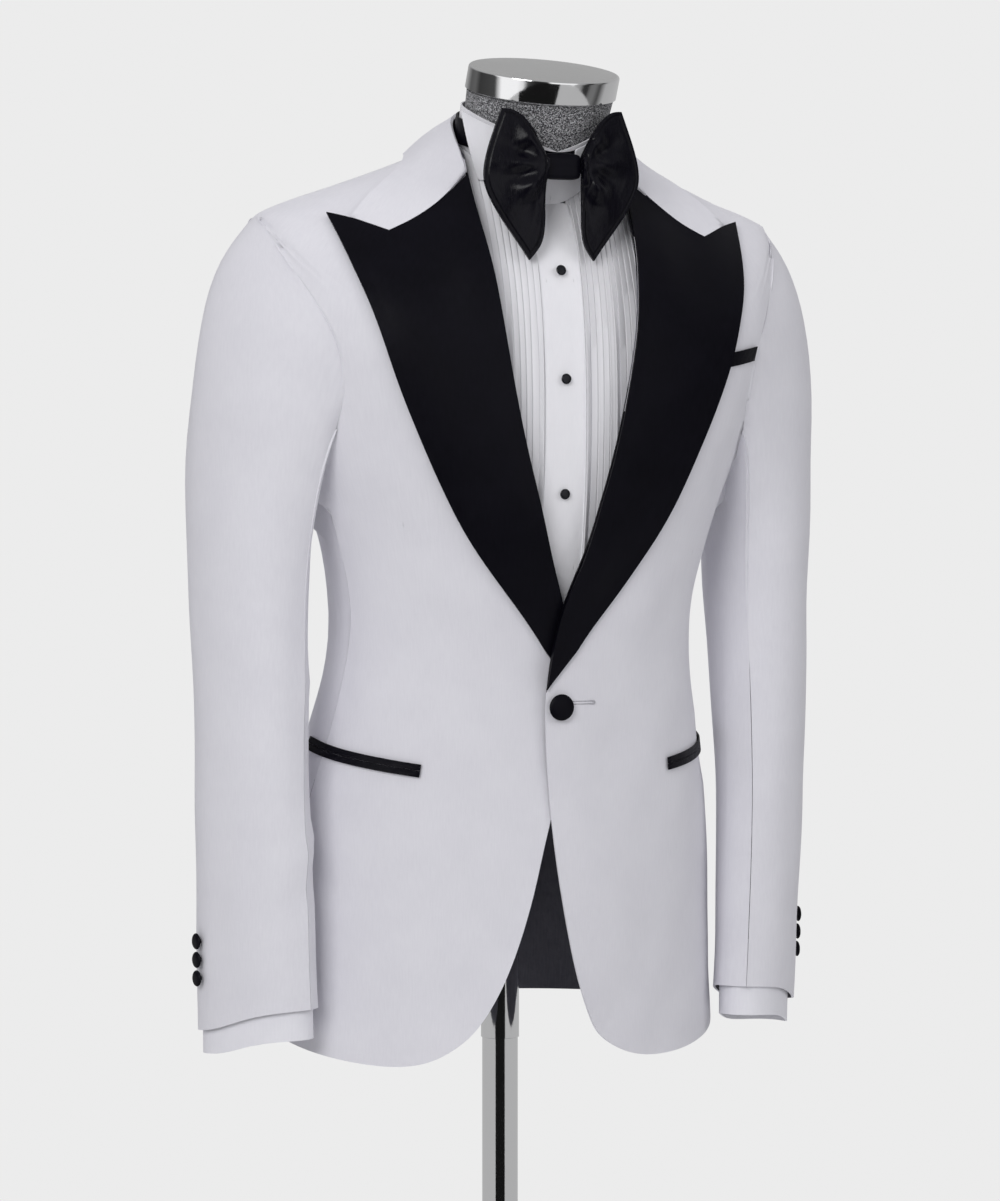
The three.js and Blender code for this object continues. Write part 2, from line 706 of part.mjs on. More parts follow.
function sleeve({ name, sign }) {
  const { points, normals, shares } = armholeLoop();
  const count = points.length;
  const columns = shares.map((share, k) => {
    const hem = SLEEVE_HEM + hemTilt(share, SLEEVE_HEM);
    const lower = range(SLEEVE_ROWS).map((w) => sleevePoint(share, mix(hem, UPPER_ARM, w)));
    const start = lower[SLEEVE_ROWS];
    const end = points[k].clone();
    const round = points[(k + 1) % count].clone().sub(points[(k - 1 + count) % count]);
    const inward = round.cross(normals[k]).normalize();
    const under = smooth(-0.35, 0.75, -Math.cos(2 * Math.PI * share));
    const reach = start.distanceTo(end);
    const over = smooth(0, 1, Math.cos(2 * Math.PI * share));
    const arrive = inward.multiplyScalar(-mix(24, 40, over)).addScaledVector(normals[k], mix(0, CAP_FULL, over));
    const below = normals[k].clone().multiplyScalar(7).add(V(0, 0, -14));
    const control = end.clone().add(arrive.lerp(below, under));
    const rise = start.clone().add(V(0, 0, reach * mix(0.62, 0.4, under)));
    rise.add(start.clone().sub(sleevePoint(share + 0.5, UPPER_ARM)).setLength(mix(14, 0.1, under)));
    const curve = new THREE.CubicBezierCurve3(start, rise, control, end);
    const upper = range(CAP_ROWS)
      .slice(1)
      .map((t) => curve.getPoint(t));
    return [...lower, ...upper];
  });
  const rows = columns[0].length;
  const grid = range(rows - 1).map((_, i) => columns.map((column) => column[i]));
  const outward = gridNormals(grid, true);
  const facing = outward[2][0].x > 0 ? 1 : -1;
  outward.forEach((row) => row.forEach((n) => n.multiplyScalar(facing)));
  grid[rows - 1].forEach((p, k) => {
    const against = (1 - outward[rows - 1][k].dot(normals[k])) / 2;
    p.addScaledVector(normals[k], 1.1 * against);
  });
  const outer = grid.map((row) => row.map((p) => flip(p, sign)));
  const inner = moved(grid, outward, -COAT).map((row) => row.map((p) => flip(p, sign)));
  const nearest = (share) =>
    shares.reduce((best, s, k) => (Math.abs(s - share) < Math.abs(shares[best] - share) ? k : best), 0);
  const from = nearest(FOREARM_SEAM),
    to = nearest(HINDARM_SEAM);
  const under = [],
    over = [];
  for (let k = from; k <= to; k++) under.push(k);
  for (let k = to; k <= from + count; k++) over.push(k % count);
  const pick = (source, list) => source.map((row) => list.map((k) => row[k].clone()));
  const gap = 0.25;
  add("sleeve_top_" + name, wall(pick(outer, over), pick(inner, over), { gap }), "wool");
  add("sleeve_under_" + name, wall(pick(outer, under), pick(inner, under), { gap }), "wool");
}

// Hip pockets: two narrow satin jets along each mouth, and a satin welt on the wearer's left breast.
const HIP_POCKET = { inX: 104, outAngle: 88, inZ: 950, outZ: 968, jet: 4.6, between: 0.6 };
const BREAST_POCKET = { inX: 92, outAngle: 54, inZ: 1262, outZ: 1276, high: 11 };
const WELT_PROUD = 1.1;
const JET_GAP = 0.9;
function welt(name, sign, { inX, outAngle, inZ, outZ }, low, high, columns, gap) {
  const start = spot(inX, inZ).angle;
  const wayOf = (angle, z) => {
    let way = z;
    for (let i = 0; i < 20; i++) way += z - figure(angle, way).z;
    return way;
  };
  const grid = [low, high].map((up) =>
    range(columns).map((t) => {
      const angle = mix(start, outAngle, t);
      return { angle, way: wayOf(angle, mix(inZ, outZ, t) + up) };
    }),
  );
  const at = (out) => grid.map((row) => row.map((g) => onFront(g, sign, out)));
  add(name, wall(at(gap + WELT_PROUD), at(gap), { gap: 0 }), "satin");
}

function hipPocket({ name, sign }) {
  const { jet, between } = HIP_POCKET;
  welt("hip_jet_upper_" + name, sign, HIP_POCKET, between / 2, between / 2 + jet, 9, JET_GAP);
  welt("hip_jet_lower_" + name, sign, HIP_POCKET, -between / 2 - jet, -between / 2, 9, JET_GAP);
}

// Buttons and studs: domed covered buttons on a short shank, axis along +Z until they are placed.
function buttonGeometry(radius, thick, shank, sides) {
  const rim = radius * 0.93;
  const profile = [
    [0, 0],
    [radius * 0.3, 0],
    [radius * 0.3, shank],
    [rim, shank + thick * 0.25],
    [radius, shank + thick * 0.55],
    [radius * 0.75, shank + thick * 0.9],
    [0, shank + thick],
  ];
  return new THREE.LatheGeometry(
    profile.map(([r, y]) => new THREE.Vector2(r, y)),
    sides,
  ).rotateX(Math.PI / 2);
}

// Puts a button on a surface point, with its axis along the surface's normal.
function button(name, geometry, point, normal, finish) {
  const solid = geometry.toNonIndexed();
  solid.deleteAttribute("normal");
  solid.deleteAttribute("uv");
  const mesh = add(name, solid, finish);
  mesh.position.copy(point.clone().addScaledVector(normal, REST));
  mesh.quaternion.setFromUnitVectors(V(0, 0, 1), normal);
}

const FRONT_BUTTON = { z: 999, radius: 10.5, thick: 5, shank: 1 };
function frontButton() {
  const g = spot(0, FRONT_BUTTON.z);
  const { radius, thick, shank } = FRONT_BUTTON;
  const point = onFront(g, 1, 0);
  button("front_button", buttonGeometry(radius, thick, shank, 20), point, V(0, -1, 0), "satin");
}

const SLEEVE_BUTTON = { radius: 7.1, thick: 4, shank: 1.6, lowest: 786, pitch: 14.6 };
function sleeveButtons({ name, sign }) {
  const { radius, thick, shank, lowest, pitch } = SLEEVE_BUTTON;
  for (let i = 0; i < 3; i++) {
    const z = lowest + i * pitch;
    const share = 0.95;
    const p = sleevePoint(share, z);
    const along = sleevePoint(share + 0.01, z).sub(sleevePoint(share - 0.01, z));
    const normal = V(along.y, -along.x, 0).normalize();
    if (normal.x < 0) normal.negate();
    const geometry = buttonGeometry(radius, thick, shank, 10);
    const placed = flip(p, sign),
      facing = flip(normal, sign);
    button("sleeve_button_" + name + "_" + (i + 1), geometry, placed, facing, "satin");
  }
}

// The shirt: two tucked fronts and a placket, a back, a wing collar and cuffs.
const PLACKET_HALF = 16;
const TUCKS = 13;
const TUCK_PITCH = 6.2;
const TUCK_DEEP = 1.5;
const TUCK_FOLD = 0.28; // share of the pitch at which a tuck's folded edge stands highest
const SHIRT_FOOT = 960;
const SHIRT_LOW_ROWS = 3; // rows up to the armpit
const SHIRT_HIGH_ROWS = 6; // rows beside the armhole
const SHIRT_ROWS = SHIRT_LOW_ROWS + SHIRT_HIGH_ROWS;
const SHIRT_NECK_BACK = [101, 112, 123, 135, 157, 180]; // angles of the shirt's neck edge behind the shoulder
const SHIRT_PLAIN = [0.3, 0.65, 1]; // columns beyond the tucks, to the side
const onShirt = ({ angle, way }, sign, out) => flip(onFigure(angle, way, out, SHIRT_INSET), sign);

// The foot of the shirt's collar: the shirt's neck edge.
const shirtNeck = (angle, out) => onFigure(angle, NECK_WAY, out, SHIRT_INSET);
// The neck edge's angle above a given x of the shirt's front.
const neckAngle = (x) => {
  const wide = read(FIGURE, "way", NECK_WAY, "wide") - SHIRT_INSET;
  return THREE.MathUtils.radToDeg(Math.asin(Math.min(1, x / wide)));
};

function shirtColumnTop(x) {
  const neckWide = read(FIGURE, "way", NECK_WAY, "wide") - SHIRT_INSET;
  if (x <= neckWide) return { angle: neckAngle(x), way: NECK_WAY };
  let low = SHOULDER_WAY,
    high = NECK_WAY;
  for (let i = 0; i < 40; i++) {
    const way = (low + high) / 2;
    if (figure(SIDE_SEAM, way, SHIRT_INSET).x > x) low = way;
    else high = way;
  }
  return { angle: SIDE_SEAM, way: (low + high) / 2 };
}

// The shirt's side edge: up the side seam to the armpit, then along the armhole.
const shirtSide = (ahead) => [
  ...range(SHIRT_LOW_ROWS).map((t) => ({ angle: SIDE_SEAM, way: mix(SHIRT_FOOT, ARMPIT_WAY, t) })),
  ...range(SHIRT_HIGH_ROWS)
    .slice(1)
    .map((t) => armholeEdge(t, ahead)),
];

function shirtFront({ name, sign }) {
  const tucked = range(TUCKS * 2).map((t, i) => ({
    x: PLACKET_HALF + TUCK_PITCH * (Math.floor(i / 2) + (i % 2) * TUCK_FOLD),
    raised: (i % 2) * TUCK_DEEP,
  }));
  const columns = tucked.map(({ x, raised }) => {
    const top = shirtColumnTop(x);
    const zTop = figure(top.angle, top.way, SHIRT_INSET).z;
    return range(SHIRT_ROWS).map((w) => ({
      ...(w === 1 ? top : locate(x, mix(SHIRT_FOOT, zTop, w), SHIRT_INSET)),
      raised: raised * (1 - smooth(0.8, 1, w)),
    }));
  });
  const lastColumn = columns[columns.length - 1];
  const side = shirtSide(true);
  const plain = SHIRT_PLAIN.map((u) =>
    lastColumn.map((g, i) => ({
      angle: mix(g.angle, side[i].angle, u),
      way: mix(g.way, side[i].way, u),
      raised: 0,
    })),
  );
  const all = [...columns, ...plain];
  const at = (base) =>
    range(SHIRT_ROWS).map((_, i) =>
      all.map((column) => onShirt(column[i], sign, base === null ? -SHIRT : column[i].raised)),
    );
  add("shirt_front_" + name, wall(at(0), at(null)), "cotton");
}

// The placket: a plain strip down the centre front, standing over the tucked fronts' inner edges.
const PLACKET_OUT = 0.5;
function placket() {
  const rows = 10;
  const top = figure(0, NECK_WAY, SHIRT_INSET).z;
  const grid = range(rows).map((w) =>
    [-1, -0.34, 0.34, 1].map((u) => ({
      x: u * (PLACKET_HALF - SEAM),
      z: mix(SHIRT_FOOT, top, w),
    })),
  );
  const at = (out) =>
    grid.map((row) =>
      row.map(({ x, z }) => {
        const g = locate(Math.abs(x), Math.min(z, top - 0.1), SHIRT_INSET);
        return flip(onFigure(g.angle, g.way, out, SHIRT_INSET), Math.sign(x) || 1);
      }),
    );
  add("shirt_placket", wall(at(PLACKET_OUT), at(PLACKET_OUT - SHIRT)), "cotton");
}

const STUD_HEIGHTS = [1165, 1254, 1338];
function studs() {
  STUD_HEIGHTS.forEach((z, i) => {
    const g = locate(0, z, SHIRT_INSET);
    const point = onFigure(g.angle, g.way, PLACKET_OUT, SHIRT_INSET);
    const normal = figureNormal(g.angle, g.way, SHIRT_INSET);
    button("shirt_stud_" + (i + 1), buttonGeometry(4.6, 2.6, 0.4, 10), point, normal, "satin");
  });
}

function shirtBack() {
  const tuckEnd = shirtColumnTop(PLACKET_HALF + TUCKS * TUCK_PITCH).way;
  const left = sampled(shirtSide(false));
  const right = (w) => ({ angle: 180, way: mix(SHIRT_FOOT, NECK_WAY, w) });
  const bottom = (u) => ({ angle: mix(SIDE_SEAM, 180, u), way: SHIRT_FOOT });
  const shoulder = [...SHIRT_PLAIN, 0].sort((a, b) => b - a);
  const topRun = [
    ...shoulder.map((u) => ({ angle: SIDE_SEAM, way: mix(tuckEnd, SHOULDER_WAY, u) })),
    { angle: SIDE_SEAM, way: NECK_WAY },
    ...SHIRT_NECK_BACK.map((angle) => ({ angle, way: NECK_WAY })),
  ];
  const half = patch(left, right, bottom, sampled(topRun), range(topRun.length - 1), range(SHIRT_ROWS));
  const at = (out) =>
    half.map((row) => [
      ...row.map((g) => onShirt(g, -1, out)),
      ...row
        .slice(0, -1)
        .reverse()
        .map((g) => onShirt(g, 1, out)),
    ]);
  add("shirt_back", wall(at(0), at(-SHIRT)), "cotton");
}

// The neck: an elliptical column that leans forward, read by an angle round it and a height up it.
const NECK = { y: -60, z: 1430, lean: 0.5, slope: 0.27, wide: 55.2, deep: 49.4, flare: 0.09 };
function onNeck(angle, up, out) {
  const a = radians(angle);
  const wide = NECK.wide + NECK.flare * up + out,
    deep = NECK.deep + out;
  const forward = -Math.cos(a) * deep;
  return V(
    Math.sin(a) * wide,
    NECK.y - NECK.lean * up + forward,
    NECK.z + up + NECK.slope * forward,
  );
}

const COLLAR_TOP = table(
  ["angle", "up"],
  [
    [0, 13],
    [14, 17],
    [30, 23],
    [48, 27.5],
    [90, 34],
    [180, 32],
  ],
);
const COLLAR_OUT = 3.3; // the collar stand's face from the neck
const COLLAR_SEAM = 1.7; // the stand's foot from the shirt's neck edge
const BAND_OUT = 6.1; // the bow tie band's face
const WING_OUT = 7.6;
const WING_LIFT = 2.5; // how much further out a wing's point stands
const BOW_BAND = { low: 9.5, high: 27.5, dip: 13.5 };
// The height of the band's lower edge, which dips at the front.
const bandLow = (angle) => BOW_BAND.low - BOW_BAND.dip * (1 - smooth(0, 60, Math.abs(angle)));

// The collar stand opens at the centre front, behind the bow.
const STAND_OPENING = 0.6; // degrees on each side
function collarStand() {
  const round = range(32).map((t) => mix(STAND_OPENING, 360 - STAND_OPENING, t));
  const turns = round.map((a) => (a > 180 ? a - 360 : a));
  const column = (turn, out) => {
    const edge = flip(shirtNeck(Math.abs(turn), out), Math.sign(turn) || 1);
    const low = onNeck(turn, bandLow(turn), COLLAR_OUT + out);
    const up = read(COLLAR_TOP, "angle", Math.abs(turn), "up");
    const foot = edge.clone().add(low.clone().sub(edge).setLength(COLLAR_SEAM));
    return [foot, low, onNeck(turn, up, COLLAR_OUT + out)];
  };
  const at = (out) => {
    const columns = turns.map((turn) => column(turn, out));
    return columns[0].map((_, i) => columns.map((points) => points[i]));
  };
  add("shirt_collar_stand", wall(at(0), at(-SHIRT)), "cotton");
}

// The wings: the stand's front corners folded out and down over the bow tie's band, to a point over the shirt.
const WING_FOLD = { front: 12, back: 86 }; // angles of the fold's two ends
const WING_TIP = { angle: 56, up: -12 };
const WING_INNER = { angle: 14, up: -2 };
function collarWing({ name, sign }) {
  const top = (u) => {
    const angle = mix(WING_FOLD.front, WING_FOLD.back, u);
    return { angle, up: read(COLLAR_TOP, "angle", angle, "up") + 0.6 };
  };
  const foot = (u) => ({
    angle: mix(WING_INNER.angle, WING_TIP.angle, u),
    up: mix(WING_INNER.up, WING_TIP.up, u),
  });
  const grid = range(4).map((w) =>
    range(6).map((u) => ({
      angle: mix(top(u).angle, foot(u).angle, w),
      up: mix(top(u).up, foot(u).up, w),
      lift: WING_LIFT * w * w,
    })),
  );
  const at = (out) =>
    grid.map((row) =>
      row.map(({ angle, up, lift }) => flip(onNeck(angle, up, WING_OUT + lift + out), sign)),
    );
  add("shirt_wing_" + name, wall(at(0), at(-1)), "cotton");
}

// The cuffs: closed rings inside the sleeves' hems, touching nothing but held close to the forearm seam.
const CUFF = { foot: 733, tilt: 8, tall: 62, inset: COAT + 2.6 };
function cuff({ name, sign }) {
  const shares = range(24).slice(0, -1);
  const at = (out) =>
    range(2).map((w) =>
      shares.map((share) => {
        const z = CUFF.foot + hemTilt(share, SLEEVE_HEM) * (CUFF.tilt / SLEEVE_HEM_TILT) + CUFF.tall * w;
        const turn = radians(read(SLEEVE, "z", z, "turn"));
        const p = sleevePoint(share, z, CUFF.inset - out);
        p.add(V(-Math.cos(turn), -Math.sin(turn), 0).multiplyScalar(1.2));
        return flip(p, sign);
      }),
    );
  add("shirt_cuff_" + name, wall(at(0), at(-SHIRT), { closed: true }), "cotton");
}

// The bow tie: a band round the collar stand, a knot, and two full wings.
function bowBand() {
  const shares = range(32).slice(0, -1);
  const at = (out) =>
    [0, 1].map((t) =>
      shares.map((s) => {
        const angle = s * 360 - 180;
        const up = bandLow(angle) + t * (BOW_BAND.high - BOW_BAND.low);
        return onNeck(angle, up, BAND_OUT + out);
      }),
    );
  add("bow_band", wall(at(0), at(-1.4), { gap: 0, closed: true }), "satin");
}

const KNOT = { x: 14, low: 1408, high: 1429, front: -132.8, deep: 12 };
function bowKnot() {
  const rings = [-1, -0.8, 0, 0.8, 1].map((t) => {
    const height = (KNOT.high - KNOT.low) / 2;
    const tall = height * (t * t > 0.9 ? 0.86 : 1);
    const deep = (KNOT.deep / 2) * (t * t > 0.9 ? 0.8 : 1 - 0.06 * t * t);
    return range(14)
      .slice(0, -1)
      .map((s) => {
        const a = 2 * Math.PI * s;
        const squash = (v) => Math.sign(v) * Math.abs(v) ** 0.6;
        return V(
          t * KNOT.x,
          KNOT.front + KNOT.deep / 2 + deep * squash(Math.sin(a)),
          (KNOT.high + KNOT.low) / 2 + tall * squash(Math.cos(a)),
        );
      });
  });
  add("bow_knot", loft(rings), "satin");
}

const WING_TOP = [V(14.6, 0, 1427), V(28, 0, 1450), V(41, 0, 1461), V(50, 0, 1462)];
const WING_SIDE = [V(50, 0, 1462), V(59, 0, 1438), V(66, 0, 1413), V(62, 0, 1397), V(50, 0, 1377), V(36, 0, 1359), V(27, 0, 1346)];
const WING_FOOT = [V(14.6, 0, 1410), V(15.5, 0, 1385), V(17, 0, 1360), V(27, 0, 1346)];
const BOW_Y = -131.2;
function bowWing({ name, sign }) {
  const top = through(WING_TOP),
    side = through(WING_SIDE),
    foot = through(WING_FOOT);
  const inner = (w) => top.getPoint(0).lerp(foot.getPoint(0), w);
  const face = (front) =>
    range(8).map((w) =>
      range(6).map((u) => {
        const p = inner(w)
          .lerp(side.getPoint(w), u)
          .add(top.getPoint(u).lerp(foot.getPoint(u), w))
          .sub(
            top
              .getPoint(0)
              .lerp(top.getPoint(1), u)
              .lerp(foot.getPoint(0).lerp(foot.getPoint(1), u), w),
          );
        const middle = Math.sin(Math.PI * w) ** 0.7 * (1 - u) ** 0.6;
        const full = 1.5 + (front ? 7 : 3) * middle * (0.4 + 0.6 * Math.sin(Math.PI * Math.min(1, u + 0.35)));
        p.y = BOW_Y + 4 * u * u + (front ? -full : full * 0.7);
        return flip(p, sign);
      }),
    );
  add("bow_wing_" + name, wall(face(true), face(false), { gap: 0 }), "satin");
}

// The dress form: a closed torso under the shirt, a neck and a polished cap.
const FORM_FOOT = 925;
const SHOULDER_EASE = 17; // how much further in the form's shoulders lie
const NECK_JOINT = -22; // where the neck meets the torso, up the neck's own axis
function formTorso() {
  const angles = range(24)
    .slice(0, -1)
    .map((t) => t * 360 - 180);
  const ways = [FORM_FOOT, 1000, 1066, 1120, 1170, 1225, 1285, 1340, 1382, 1417, 1454, 1493];
  const inset = (way) => FORM_INSET + SHOULDER_EASE * (1 - clamp01(Math.abs(way - SHOULDER_WAY) / 110));
  const rings = ways.map((way) => angles.map((a) => figure(a, way, inset(way))));
  const foot = rings[0].map((p) => V(p.x * 0.96, p.y * 0.96, p.z - 6));
  const top = angles.map((a) => onNeck(a, NECK_JOINT, 0));
  add("form_torso", loft([foot, ...rings, top]), "heather");
}

function formNeck() {
  const angles = range(24)
    .slice(0, -1)
    .map((t) => t * 360 - 180);
  const rings = [NECK_JOINT + SEAM, 0, 22, CAP.foot - 2 * SEAM].map((up) => angles.map((a) => onNeck(a, up, 0)));
  add("form_neck", loft(rings), "heather");
}

const CAP = { out: 3.4, foot: 48, band: 18, edge: 2.5 };
function neckCap() {
  const angles = range(28)
    .slice(0, -1)
    .map((t) => t * 360 - 180);
  const ring = (up, out) => angles.map((a) => onNeck(a, up, out));
  const { out, foot, band, edge } = CAP;
  const rings = [
    ring(foot, out - edge * 0.5),
    ring(foot + edge * 0.6, out),
    ring(foot + band - edge, out),
    ring(foot + band - edge * 0.3, out - edge * 0.3),
    ring(foot + band, out - edge),
    ring(foot + band + 2, -NECK.wide * 0.45),
  ];
  add("neck_cap", loft(rings), "chrome");
}

// The stand: an upper tube into the form, a lower tube and a round base.
const STAND = { upper: 15.5, lower: 14.5, joint: 725, baseRadius: 165, base: 12, flange: 30, flangeTall: 16 };
function cylinder(name, radius, low, high, finish) {
  const geometry = new THREE.CylinderGeometry(radius, radius, high - low, 28);
  geometry.rotateX(Math.PI / 2).translate(0, 0, (low + high) / 2);
  geometry.deleteAttribute("normal");
  geometry.deleteAttribute("uv");
  add(name, geometry, finish);
}

function stand() {
  const { upper, lower, joint, baseRadius, base, flange, flangeTall } = STAND;
  const profile = [
    [0, 0],
    [baseRadius - 2, 0],
    [baseRadius, 2],
    [baseRadius, base - 4],
    [baseRadius - 4, base],
    [flange + 6, base + 1.5],
    [flange, base + 5],
    [flange * 0.72, base + flangeTall],
    [0, base + flangeTall],
  ];
  const geometry = new THREE.LatheGeometry(
    profile.map(([r, y]) => new THREE.Vector2(r, y)),
    28,
  ).rotateX(Math.PI / 2);
  geometry.deleteAttribute("normal");
  geometry.deleteAttribute("uv");
  add("stand_base", geometry, "chrome");
  cylinder("pole_lower", lower, base + flangeTall + SEAM, joint, "chrome");
  cylinder("pole_upper", upper, joint + SEAM, FORM_FOOT - 6 - SEAM, "chrome");
}

for (const side of SIDES) {
  frontPanel(side);
  sidePanel(side);
  backPanel(side);
  lapel(side);
  sleeve(side);
  hipPocket(side);
  sleeveButtons(side);
  shirtFront(side);
  collarWing(side);
  cuff(side);
  bowWing(side);
}
collar();
welt("breast_welt", 1, BREAST_POCKET, -BREAST_POCKET.high / 2, BREAST_POCKET.high / 2, 7, REST);
frontButton();
placket();
studs();
shirtBack();
collarStand();
bowBand();
bowKnot();
formTorso();
formNeck();
neckCap();
stand();

export default tuxedo;
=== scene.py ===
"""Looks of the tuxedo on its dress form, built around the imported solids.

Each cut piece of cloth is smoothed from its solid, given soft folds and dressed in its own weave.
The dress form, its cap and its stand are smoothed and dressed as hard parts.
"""

import logging
import math
from dataclasses import dataclass, replace
from enum import Enum
from typing import Sequence

import bmesh
import bpy
import numpy as np
from bmesh.types import BMEdge, BMesh, BMVert
from bpy.types import Material, Mesh, NodeSocket, NodeTree, Object
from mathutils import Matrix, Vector
from mathutils.bvhtree import BVHTree
from mathutils.kdtree import KDTree


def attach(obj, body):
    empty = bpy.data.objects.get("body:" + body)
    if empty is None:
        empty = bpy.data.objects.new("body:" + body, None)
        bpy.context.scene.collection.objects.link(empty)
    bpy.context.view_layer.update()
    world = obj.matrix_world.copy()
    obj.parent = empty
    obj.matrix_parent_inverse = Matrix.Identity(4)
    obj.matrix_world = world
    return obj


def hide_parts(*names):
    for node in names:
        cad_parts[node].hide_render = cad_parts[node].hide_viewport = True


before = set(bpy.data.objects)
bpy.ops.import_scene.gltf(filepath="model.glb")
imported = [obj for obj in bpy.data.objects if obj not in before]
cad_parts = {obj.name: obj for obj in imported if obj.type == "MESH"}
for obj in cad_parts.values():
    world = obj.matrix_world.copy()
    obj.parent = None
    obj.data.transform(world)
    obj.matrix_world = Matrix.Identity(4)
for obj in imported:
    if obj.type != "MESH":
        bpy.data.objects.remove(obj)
log = logging.getLogger("tuxedo")

Point = tuple[float, float, float]
Colour = tuple[float, float, float]

TAU = 2 * math.pi
MM = 0.001
ROOT = "root"
MERGE = 1e-5

# The cut edges of a wall: how far a seam is closed, which edges are creased or sharp, and the largest face
# between them, in square metres.
SEAM_HALF = 0.17 * MM
RIM_TURN = math.radians(50)
SHARP_TURN = math.radians(42)
ROUND_TURN = math.radians(80)
RIM_AREA = 9e-5
JOIN_TURN = math.radians(40)
JOIN_SKEW = math.radians(70)

# Sewing: how near the other cloth is, and how much of the way there may run along the edge.
SEWN_NEAR = 11.0 * MM
SEWN_ACROSS = 0.62

# A face looks in at the core when its normal runs this far against the way out.
INWARD = -0.25

# Rays that lay a thing on the garment's front start here and run this way.
FRONT_Y = -0.4
BACKWARD = Vector((0, 1, 0))

# The noises of every woven cloth, by how many to the metre, and the sewn lines' sizes.
CLOUDS = 26.0
SLUBS = 700.0
PUCKERS = 170.0
PUCKER_REACH = 9 * MM
LINE_DEPTH = 0.3 * MM
LINE_DIP = 1.1 * MM
# How wide the painted shade along a border seam is.
SEAM_SHADE_WIDE = 0.8 * MM
# The painted shadow under a tuck's folded edge is full up to the first distance from the rim and gone by
# the second.
TUCK_SHADOW_START = 0.15 * MM
TUCK_SHADE = 0.75 * MM

# A noise keeps to about a quarter of its range, so a bump that uses one is given this much more height.
NOISE_SWING = 4


class Held(Enum):
    """How a sheet of cloth is held."""

    DRAPED = "draped"
    FOLDED = "folded"
    GATHERED = "gathered"


class Weave(Enum):
    """How the threads of a cloth cross."""

    PLAIN = "plain"
    TWILL = "twill"
    SATIN = "satin"


# How steeply the lines of a twill or a satin climb.
THREAD_LEAN = {Weave.TWILL: 0.8, Weave.SATIN: 0.12}


@dataclass(frozen=True)
class Core:
    """The middle line that a tube of cloth wraps, and the radius it is unrolled at."""

    foot: Point
    top: Point
    radius: float

    def away(self, points: np.ndarray) -> np.ndarray:
        """The vector from the middle line to each point."""
        foot = np.array(self.foot)
        run = np.array(self.top) - foot
        share = np.clip((points - foot) @ run / (run @ run), 0, 1)
        return points - foot - share[:, None] * run

    def outward(self, points: np.ndarray) -> np.ndarray:
        """The way out of the tube at each point, of length one."""
        away = self.away(points)
        return away / np.maximum(np.linalg.norm(away, axis=1, keepdims=True), 1e-9)

    def unroll(self, points: np.ndarray) -> np.ndarray:
        """Lays the points of a tube flat.

        Args:
            points: places in the row frame, in metres.

        Returns:
            For each point how far it is round the tube and up it, in metres.
        """
        flat = points[:, :2] - np.array(self.foot)[:2]
        middle = flat.mean(0)
        turn = np.arctan2(middle[0] * flat[:, 1] - middle[1] * flat[:, 0], flat @ middle)
        return np.stack([turn * self.radius, points[:, 2] - np.linalg.norm(flat, axis=1)], 1)


BODY = Core((0, -0.015, 0.6), (0, -0.015, 1.27), 0.17)
SLEEVE_LEFT = Core((0.2155, -0.024, 0.7), (0.207, -0.02, 1.33), 0.045)
SLEEVE_RIGHT = Core((-0.2155, -0.024, 0.7), (-0.207, -0.02, 1.33), 0.045)
NECK = Core((0, -0.056, 1.3), (0, -0.086, 1.6), 0.06)
FRONTWARD = Core((0, 4, 0), (0, 4, 3), 4.1)


@dataclass(frozen=True)
class Fold:
    """A soft ridge or trough worn into the cloth along a line of the row frame."""

    start: Point
    end: Point
    width: float
    height: float
    fade: float = 0.7

    def lift(self, points: np.ndarray) -> np.ndarray:
        """How far the fold lifts each point, in metres."""
        start = np.array(self.start)
        run = np.array(self.end) - start
        along = np.clip((points - start) @ run / (run @ run), 0, 1)
        across = np.linalg.norm(points - start - along[:, None] * run, axis=1) / self.width
        return self.height * np.exp(-across * across) * np.sin(np.pi * along) ** self.fade

    def mirrored(self, share: float = 1.0) -> "Fold":
        """The same fold on the other side, as high as the share says."""
        return replace(
            self,
            start=(-self.start[0], *self.start[1:]),
            end=(-self.end[0], *self.end[1:]),
            height=self.height * share,
        )


def unevenness(points: np.ndarray, pitch: float) -> np.ndarray:
    """A slow wave over the cloth, from -1 to 1, the same for pieces that meet."""
    x, y, z = (points * (TAU / pitch)).T
    return np.sin(x + 1.3 * np.sin(0.6 * z) + 0.8 * y) * np.sin(0.63 * z + 1.1 * np.sin(0.7 * x) - 0.5 * y)


def sharp_edges(shape: BMesh, turn: float) -> list[BMEdge]:
    """The edges where the surface turns by more than that angle."""
    return [edge for edge in shape.edges if edge.is_manifold and edge.calc_face_angle() > turn]


def as_mesh(shape: BMesh, name: str) -> Mesh:
    """The shape as a mesh of that name."""
    mesh = bpy.data.meshes.new(name)
    shape.to_mesh(mesh)
    shape.free()
    return mesh


def put(name: str, data: bpy.types.ID) -> Object:
    """An object of that name, put in the scene."""
    made = bpy.data.objects.new(name, data)
    bpy.context.scene.collection.objects.link(made)
    return made


def opaque(colour: Colour, share: float = 1.0) -> tuple[float, float, float, float]:
    """A colour, or a share of it, as a socket takes it."""
    return (*(share * part for part in colour), 1.0)


